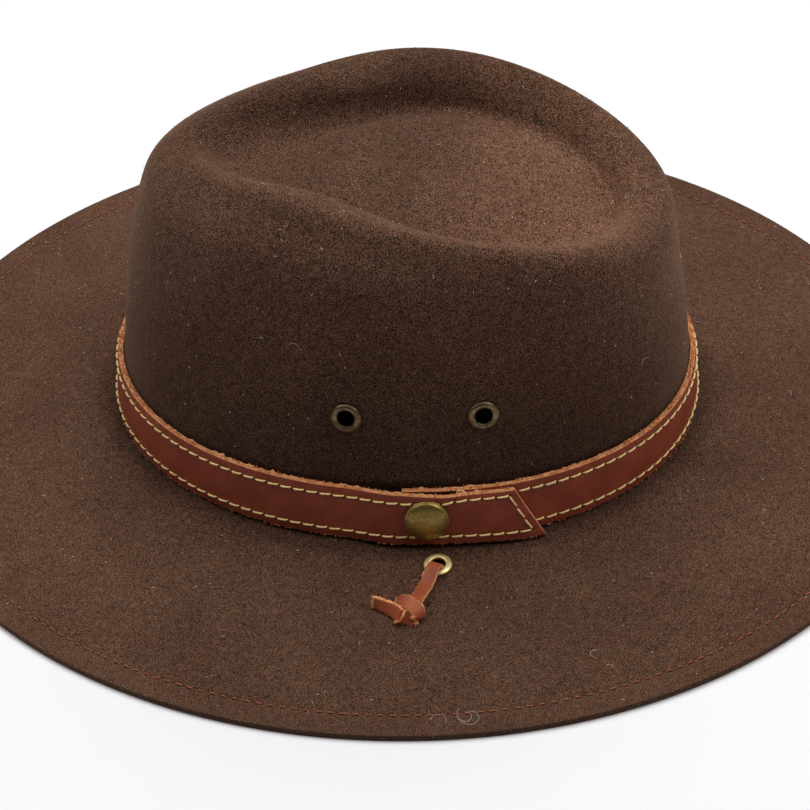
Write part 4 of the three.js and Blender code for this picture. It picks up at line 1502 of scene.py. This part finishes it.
@dataclass
class LooseFibre:
    """Fibre ends that stand off the felt and soften its outline, and the lint that has settled on it.

    Real ends are about 0.03 mm thick, too fine to show, so they are drawn 0.1 mm thick, and the specks
    0.16 mm. Each place of the tangle is an angle, an inset from the brim's edge and the radius of a curl.
    """

    block: HatBlock
    fittings: Fittings
    nap_count: int = 40000
    edge_count: int = 4500
    shortest: float = 0.25
    usual: float = 0.32
    longest: float = 1.5
    width: float = 0.05
    root: float = 0.08
    lean: tuple[float, float] = (0.15, 1.1)
    nap_tone: tuple[float, float] = (0.05, 0.12)
    corner_reach: float = 0.6
    corner_inset: float = 0.3
    corner_drop: float = 0.12
    edge_inset: float = 0.05
    edge_share: float = 0.8
    crown_span: tuple[float, float, int] = (21, 172, 140)
    brim_span: tuple[float, float, int] = (0.1, 0.998, 60)
    angle_cells: int = 240
    clear_of_fittings: float = 5.8
    speck_count: int = 620
    speck_gauge: float = 0.08
    speck_radii: tuple[float, float] = (0.4, 1.4)
    speck_sweeps: tuple[float, float] = (0.4, 1.1)
    speck_rings: int = 5
    curl_count: int = 24
    curl_gauge: float = 0.05
    curl_radii: tuple[float, float] = (0.7, 2.0)
    curl_sweeps: tuple[float, float] = (1.5, 4.0)
    curl_rings: int = 16
    bow: float = 0.25
    bow_spread: tuple[float, float] = (0.2, 1.2)
    rust_share: float = 0.35
    tangle_sweeps: tuple[float, float] = (2.5, 4.5)
    tangle_rings: int = 24
    tangle: tuple[tuple[float, float, float], ...] = (
        (101.6, 9, 2.6), (103.4, 7.5, 3.4), (104.6, 6, 2.2), (105.3, 5, 3.0),
    )

    def _sites(self, rng: Rng, count: int) -> tuple[np.ndarray, np.ndarray]:
        """Picks places spread evenly over the felt's outer face.

        The crown and the brim are each laid out in small cells, a cell is drawn by its area, and a place by
        chance inside it.

        Args:
            rng: the seeded source.
            count: how many to draw; those on a fitting are dropped.

        Returns:
            The places and the outward directions there.
        """
        angle = np.linspace(0, 360, self.angle_cells + 1)
        spans = (self.block.crown, self.crown_span), (self.block.brim, self.brim_span)
        faces = [(surface, np.linspace(*span)) for surface, span in spans]
        corners, steps, areas = [], [], []
        for surface, along_felt in faces:
            grid = surface(along_felt[:, None], angle[None])
            cell = np.cross(grid[1:, :-1] - grid[:-1, :-1], grid[:-1, 1:] - grid[:-1, :-1])
            areas.append(np.linalg.norm(cell, axis=-1).ravel())
            pairs = np.meshgrid(along_felt[:-1], angle[:-1], indexing="ij")
            corners.append(np.stack(pairs, -1).reshape(-1, 2))
            steps.append((along_felt[1] - along_felt[0], angle[1]))
        share = np.concatenate(areas) / sum(a.sum() for a in areas)
        cells = rng.choice(len(share), count, p=share)
        jitter = rng.uniform(0, 1, (count, 2))
        on_crown = cells < len(areas[0])
        places, ups = [], []
        for face, mine in enumerate((on_crown, ~on_crown)):
            first = 0 if face == 0 else len(areas[0])
            at = corners[face][cells[mine] - first] + jitter[mine] * steps[face]
            places.append(faces[face][0](at[:, 0], at[:, 1]))
            flat = np.tile(UP, (len(at), 1))
            ups.append(self.block.crown_normal(at[:, 0], at[:, 1]) if face == 0 else flat)
        places, ups = np.concatenate(places), np.concatenate(ups)
        fittings = [place for _, place, _ in self.fittings.vent_places + self.fittings.grommet_places]
        near = np.min([np.linalg.norm(places - place, axis=1) for place in fittings], axis=0)
        keep = near > self.clear_of_fittings
        return places[keep], ups[keep]

    def _edge_sites(self, rng: Rng) -> tuple[np.ndarray, np.ndarray]:
        """Returns places on the brim's cut edge, most near its upper corner, and the ways out of it."""
        angle = rng.uniform(0, 360, self.edge_count)
        places = self.block.brim(np.full(self.edge_count, 1.0), angle)
        drop = rng.uniform(0, 1, self.edge_count) ** 2 * self.block.thickness
        out = unit(places * [self.block.half_width**-2, self.block.half_length**-2, 0])
        corner = np.clip(1 - drop / self.corner_reach, 0, 1)
        places = places - out * (self.corner_inset * corner + self.edge_inset)[:, None]
        places[:, 2] -= self.corner_drop * corner + drop * self.edge_share
        return places, unit(out + np.stack([0 * corner, 0 * corner, corner], -1))

    def nap(self) -> Shell:
        """Returns the fibre ends: spikes that lean any way, from nearly flat to half upright."""
        rng = np.random.default_rng(SEED + 10)
        sets = [self._sites(rng, self.nap_count), self._edge_sites(rng)]
        places, ups = (np.concatenate(pair) for pair in zip(*sets))
        count = len(places)
        flat = unit(np.cross(ups, rng.normal(size=(count, 3))))
        ways = unit(flat + ups * rng.uniform(*self.lean, (count, 1)))
        long = np.minimum(self.shortest + rng.exponential(self.usual, (count, 1)), self.longest)
        shell = spikes(places - ups * self.root, ways * long, self.width)
        shell.values = {"tone": np.repeat(np.clip(rng.normal(*self.nap_tone, count), 0, 0.5), 4)}
        return shell

    def lint(self) -> Shell:
        """Returns the lint: short specks, longer curls and one tangle, each a circle's arc on the felt."""
        rng = np.random.default_rng(SEED + 11)
        shells = []
        for count, gauge, radii, sweeps, rings in (
            (self.speck_count, self.speck_gauge, self.speck_radii, self.speck_sweeps, self.speck_rings),
            (self.curl_count, self.curl_gauge, self.curl_radii, self.curl_sweeps, self.curl_rings),
            (len(self.tangle), self.curl_gauge, None, self.tangle_sweeps, self.tangle_rings),
        ):
            if radii is None:
                angle, inset, radius = np.array(self.tangle).T
                places = self.block.brim(1 - inset / self.block.brim_width, angle)
                ups = np.tile(UP, (count, 1))
            else:
                places, ups = self._sites(rng, count)
                radius = rng.uniform(*radii, len(places))
            number = len(places)
            first = unit(np.cross(ups, rng.normal(size=(number, 3))))
            second = np.cross(ups, first)
            turn = rng.uniform(*sweeps, (number, 1)) * np.linspace(-0.5, 0.5, rings)
            high = rng.uniform(*self.bow_spread, (number, 1))
            lift = gauge + self.bow * np.cos(np.linspace(-1.5, 1.5, rings)) * high
            radius = radius[:, None]
            paths = (
                places[:, None]
                + first[:, None] * (radius * (np.cos(turn) - 1))[..., None]
                + second[:, None] * (radius * np.sin(turn))[..., None]
                + ups[:, None] * lift[..., None]
            )
            shell = strands(paths, gauge, ups)
            rust = self.rust_share * (rings == self.speck_rings)
            tone = np.where(rng.uniform(size=number) < rust, 1.0, 0.5)
            shell.values = {"tone": np.repeat(tone, len(shell.points) // number)}
            shells.append(shell)
        return Shell.joined(shells)

    def build(self) -> None:
        """Makes the nap and the lint."""
        fibre = LOOSE_WOOL.material()
        self.nap().piece("felt_nap", fibre, "wool_felt")
        self.lint().piece("felt_lint", fibre, "wool_felt")


@dataclass
class Lace:
    """A flat leather lace with rough raw edges, whose torn fibres are drawn coarse enough to show."""

    width: float = 4.7
    thickness: float = 1.5
    sides: int = 28
    raw_end: int = 3
    edge_rough: float = 0.16
    rough_blur: float = 1.2
    corner_power: float = 0.4
    raw_span: tuple[float, float] = (0.86, 0.97)
    fray_each_mm: float = 5
    fray_end: int = 40
    fray_length: tuple[float, float] = (0.22, 1.2)
    fray_width: float = 0.17
    fray_inset: float = 0.12
    fray_spread: float = 0.35
    fray_lift: float = 0.5

    def shell(self, path: np.ndarray, across: np.ndarray, seed: int) -> Shell:
        """Carries the lace's section along a path.

        The section is a rectangle with well rounded corners, cosine and sine each to the power 0.4 before
        they are scaled to the width and the thickness, and noise moves its narrow sides in and out.

        Args:
            path: the points that it follows.
            across: the direction of its width at each point.
            seed: the seed of the rough edges.

        Returns:
            The closed strip, with the pattern raw, which is 1 on its narrow sides.
        """
        rng = np.random.default_rng(seed)
        forward = unit(np.gradient(path, axis=0))
        across = unit(across - (across * forward).sum(-1, keepdims=True) * forward)
        lift = np.cross(forward, across)
        phi = (np.arange(self.sides) + 0.5) * 2 * np.pi / self.sides
        c, s = np.cos(phi), np.sin(phi)
        wide, tall = (np.sign(wave) * np.abs(wave) ** self.corner_power for wave in (c, s))
        raw = smooth_step(np.abs(wide), *self.raw_span)
        rough = soft_noise(rng, (len(path), self.sides), self.rough_blur) * self.edge_rough * raw
        out = (wide * self.width / 2 + np.sign(wide) * rough)[..., None]
        up = (tall * self.thickness / 2)[None, :, None] * np.ones((len(path), 1, 1))
        points = path[:, None] + across[:, None] * out + lift[:, None] * up
        ends = (np.minimum(np.arange(len(path)), np.arange(len(path))[::-1]) < self.raw_end)[:, None]
        raw = np.maximum(raw[None] * np.ones((len(path), 1)), ends)
        strip = tubes(points[None], {"raw": raw, "hole": 0 * raw})
        return Shell.joined([strip, self._fray(rng, path, forward, across, lift)])

    def _fray(self, rng: Rng, path: np.ndarray, *axes: np.ndarray) -> Shell:
        """Returns the fibres torn loose along both narrow sides and at the last end, outwards and askew."""
        count = int(along(path)[-1] * self.fray_each_mm) + self.fray_end
        at = rng.integers(1, len(path) - 1, count)
        at[-self.fray_end :] = len(path) - 1
        forward, across, lift = (axis[at] for axis in axes)
        last = (at == len(path) - 1)[:, None]
        side = rng.choice([-1.0, 1.0], count)[:, None]
        wide = np.where(last, rng.uniform(-1, 1, (count, 1)), side) * (self.width / 2 - self.fray_inset)
        high = rng.uniform(-self.fray_spread, self.fray_spread, (count, 1)) * self.thickness
        feet = path[at] + across * wide + lift * high
        away = np.where(last, forward, across * side)
        skew = np.where(last, across, forward) * rng.uniform(-1, 1, (count, 1))
        ways = unit(away + skew + lift * rng.uniform(-self.fray_lift, self.fray_lift, (count, 1)))
        return torn_fibres(rng, feet, ways, self.fray_length, self.fray_width)


@dataclass
class ChinLace:
    """The lace through both sides of the brim, lying loose below the hat, with a knot on each end.

    The pairs of on_brim and landing are a way out from the grommet and a height over the brim or the
    surface, those of through are the same from the grommet itself, and those of lie are X and Y.
    """

    block: HatBlock
    fittings: Fittings
    lace: Lace = field(default_factory=Lace)
    knot_distance: float = 24.4
    knot_turn: float = -14
    knot_half: float = 2.25
    knot_height: float = 3.2
    gap: float = 0.3
    step: float = 0.55
    knot_step: float = 0.35
    curve_points: int = 24
    knot_curve_points: int = 16
    on_brim: tuple[tuple[float, float], ...] = ((16, 2.1), (10.5, 1.4), (6.5, 2.3), (3.4, 2.8))
    through: tuple[tuple[float, float], ...] = ((1.1, 1.2), (0.1, -1.6), (-0.5, -4.4))
    landing: tuple[tuple[float, float], ...] = ((-3.2, 2.3), (-8, 1.3))
    lie_height: float = 1.3
    lie: tuple[tuple[float, float], ...] = (
        (68, 34), (38, 46), (5, 52), (-25, 51), (-47, 40), (-54, 22), (-42, 6), (-15, 0), (15, -4), (42, -13),
        (54, -31), (42, -50), (12, -60), (-25, -56), (-52, -40), (-68, -14), (-79, 10),
    )

    def _frame(self, side: Side) -> tuple[np.ndarray, np.ndarray, np.ndarray]:
        """Returns a grommet's place, the way out to its knot, and the way across, towards the back."""
        centre = self.fittings.grommet_places[list(Side).index(side)][1]
        turn = math.radians(self.knot_turn)
        out = np.array([side.value * math.cos(turn), math.sin(turn), 0])
        return centre, out, np.array([side.value * -out[1], side.value * out[0], 0])

    def _on_brim(self, side: Side, far: float, aside: float, height: float) -> np.ndarray:
        """Returns a place so far out from a grommet, so far across and so high over the brim."""
        centre, out, across = self._frame(side)
        place = centre + far * out + aside * across
        place[2] = self.block.brim_height(place[0], place[1]) + height
        return place

    def _drop(self, side: Side) -> list[np.ndarray]:
        """Returns the route from a knot over the grommet and down to the surface below."""
        centre, out, _ = self._frame(side)
        start = self.knot_distance - self.knot_half - self.gap
        route = [self._on_brim(side, start, 0, self.knot_height)]
        route += [self._on_brim(side, far, 0, height) for far, height in self.on_brim]
        route += [centre + far * out + [0, 0, height] for far, height in self.through]
        for far, height in self.landing:
            place = centre + far * out
            route.append(np.array([place[0], place[1], height]))
        return route

    def route(self) -> np.ndarray:
        """Returns the lace's middle line, from the left knot to the right one."""
        lie = [np.array([x, y, self.lie_height]) for x, y in self.lie]
        points = [*self._drop(Side.LEFT), *lie, *reversed(self._drop(Side.RIGHT))]
        return respaced(smooth_path(np.array(points), self.curve_points), self.step)

    def _knot(self, side: Side) -> Shell:
        """Returns a knot: the lace's end turned round itself, with a tail that stands on its edge.

        Each point is a way out from the knot's middle, a way towards the front and a height over the brim.
        Each strip also has the direction of its width at its two ends, along the same three axes.
        """
        wrap = ((-2.8, 5.9, 1.4), (-2.8, 4.5, 3.1), (-2.1, 1.7, 4.4), (-1.3, -0.8, 4.4), (-0.5, -2.6, 3.7),
                (0.3, -3.2, 2.4), (1.4, -2.1, 1.2))
        tail = ((0.2, -2.6, 1.0), (1.2, -1.9, 1.4), (1.7, -0.2, 1.5), (1.8, 1.4, 1.6), (1.9, 2.8, 1.9),
                (1.2, 4.3, 2.3), (0.6, 7.0, 2.4), (0.2, 10.2, 2.4), (0.0, 13.4, 2.4))
        fold = ((1.0, 1.4, 3.7), (2.8, 1.4, 2.9), (4.0, 2.1, 1.9), (4.4, 3.4, 1.3))
        nub = ((0.9, -2.0, 1.2), (2.1, -2.7, 1.0), (2.9, -3.1, 0.7))
        stub = ((-3.0, 0.0, 2.6), (-1.2, 0.0, 2.6), (0.6, 0.0, 1.8))
        thin = replace(self.lace, width=1.9, thickness=0.9)
        torn = replace(self.lace, width=0.8, thickness=0.6, fray_end=6)
        _, out, across = self._frame(side)
        strips = []
        for number, (lace, points, first, last) in enumerate((
            (self.lace, wrap, (-0.85, 0.1, 0.45), (-0.75, -0.65, 0.1)),
            (self.lace, tail, (-0.75, 0.0, 0.66), (-0.2, 0.0, 0.98)),
            (thin, fold, (0.7, -0.3, 0.64), (0.7, -0.3, 0.64)),
            (torn, nub, (0.7, -0.3, 0.64), (0.7, -0.3, 0.64)),
            (self.lace, stub, (0.0, 1.0, 0.0), (0.0, 1.0, 0.0)),
        )):
            places = [self._on_brim(side, self.knot_distance + u, -v, w) for u, v, w in points]
            path = respaced(smooth_path(np.array(places), self.knot_curve_points), self.knot_step)
            share = np.linspace(0, 1, len(path))[:, None]
            mixed = np.array(first) * (1 - share) + np.array(last) * share
            wide = mixed[:, :1] * out - mixed[:, 1:2] * across + mixed[:, 2:] * UP
            strips.append(lace.shell(path, wide, SEED + number))
        return Shell.joined(strips)

    def build(self) -> bpy.types.Object:
        leather = LACE_LEATHER.material()
        path = self.route()
        forward = np.gradient(path, axis=0)
        across = unit(np.cross(UP, forward))
        lace = self.lace.shell(path, across, SEED).piece("chin_lace", leather, "thong_leather")
        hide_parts("chin_thong")
        for side in Side:
            name = side.name.lower()
            knot = self._knot(side).piece(f"lace_knot_{name}", leather, "thong_leather")
            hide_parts(f"thong_knot_{name}")
        return lace


@dataclass
class Studio:
    """The camera at the photograph's angle, the soft light and the pale floor."""

    azimuth: float = 100.64
    elevation: float = 39.43
    distance: float = 973.3
    roll: float = -2.69
    target: tuple[float, float, float] = (0, -0.39, -1.94)
    lens: float = 117.9
    sensor: float = 36
    clip: tuple[float, float] = (0.01, 50)
    floor_half: float = 4000
    softbox_size: float = 2.0
    softboxes: tuple[tuple[str, tuple[float, float, float], float], ...] = (
        ("softbox_back", (-1500, 0, 2200), 43),
        ("softbox_left", (0, -1500, 2300), 33),
        ("softbox_right", (0, 1500, 2300), 37),
    )

    def camera(self) -> None:
        """Makes the camera: back along the line of sight from its target, and rolled about it."""
        az, el, roll = (math.radians(a) for a in (self.azimuth, self.elevation, self.roll))
        back = np.array([math.sin(az) * math.cos(el), -math.cos(az) * math.cos(el), math.sin(el)])
        right = unit(np.cross(-back, UP))
        up = np.cross(right, -back)
        rolled_right = math.cos(roll) * right + math.sin(roll) * up
        rolled_up = math.cos(roll) * up - math.sin(roll) * right
        place = (np.array(self.target) + back * self.distance) * MM
        data = bpy.data.cameras.new("camera")
        data.lens = self.lens
        data.sensor_width = self.sensor
        data.clip_start, data.clip_end = self.clip
        camera = bpy.data.objects.new("camera", data)
        matrix = Matrix.Identity(4)
        for column, vector in enumerate((rolled_right, rolled_up, back, place)):
            for row in range(3):
                matrix[row][column] = vector[row]
        camera.matrix_world = matrix
        bpy.context.scene.collection.objects.link(camera)
        bpy.context.scene.camera = camera

    def lights(self) -> None:
        """Makes three wide softboxes overhead, across from the camera and on both sides, and no sky."""
        for name, place, power in self.softboxes:
            data = bpy.data.lights.new(name, "AREA")
            data.shape = "SQUARE"
            data.size = self.softbox_size
            data.energy = power
            light = bpy.data.objects.new(name, data)
            axes = axes_along(np.array(place))
            light.matrix_world = Matrix.Translation(np.array(place) * MM) @ Matrix(axes.T.tolist()).to_4x4()
            bpy.context.scene.collection.objects.link(light)
        world = bpy.data.worlds.new("studio")
        bpy.context.scene.world = world
        world.use_nodes = True
        world.node_tree.nodes["Background"].inputs["Strength"].default_value = 0
        bpy.context.scene.view_settings.view_transform = "Standard"

    def floor(self) -> None:
        """Makes the pale floor: matt paper, so bright that only the soft shadow of the hat shows on it."""
        half = self.floor_half
        corners = np.array([(-half, -half, 0), (half, -half, 0), (half, half, 0), (-half, half, 0)], float)
        recipe = Recipe("studio_paper")
        recipe.constants(Base_Color=srgb("#f6f5f6"), Roughness=0.9, Specular_IOR_Level=0.1)
        mesh = bpy.data.meshes.new("floor")
        mesh.from_pydata((corners * MM).tolist(), [], [(0, 1, 2, 3)])
        mesh.materials.append(recipe.material)
        floor = bpy.data.objects.new("floor", mesh)
        bpy.context.scene.collection.objects.link(floor)


def main() -> None:
    """Builds the hat: the camera and the lace first, then the felt, the strap and the metal."""
    logging.basicConfig(level=logging.INFO, format="%(name)s %(message)s", stream=sys.stdout)
    studio = Studio()
    studio.camera()
    block = HatBlock()
    fittings = Fittings(block)
    ChinLace(block, fittings).build()
    FeltHood(block).build(fittings.drills())
    BrimStitching(block).build()
    band = StrapBand(block)
    band.build()
    Snap(block, band).build()
    fittings.build()
    LooseFibre(block, fittings).build()
    studio.lights()
    studio.floor()


if __name__ == "__main__":
    main()
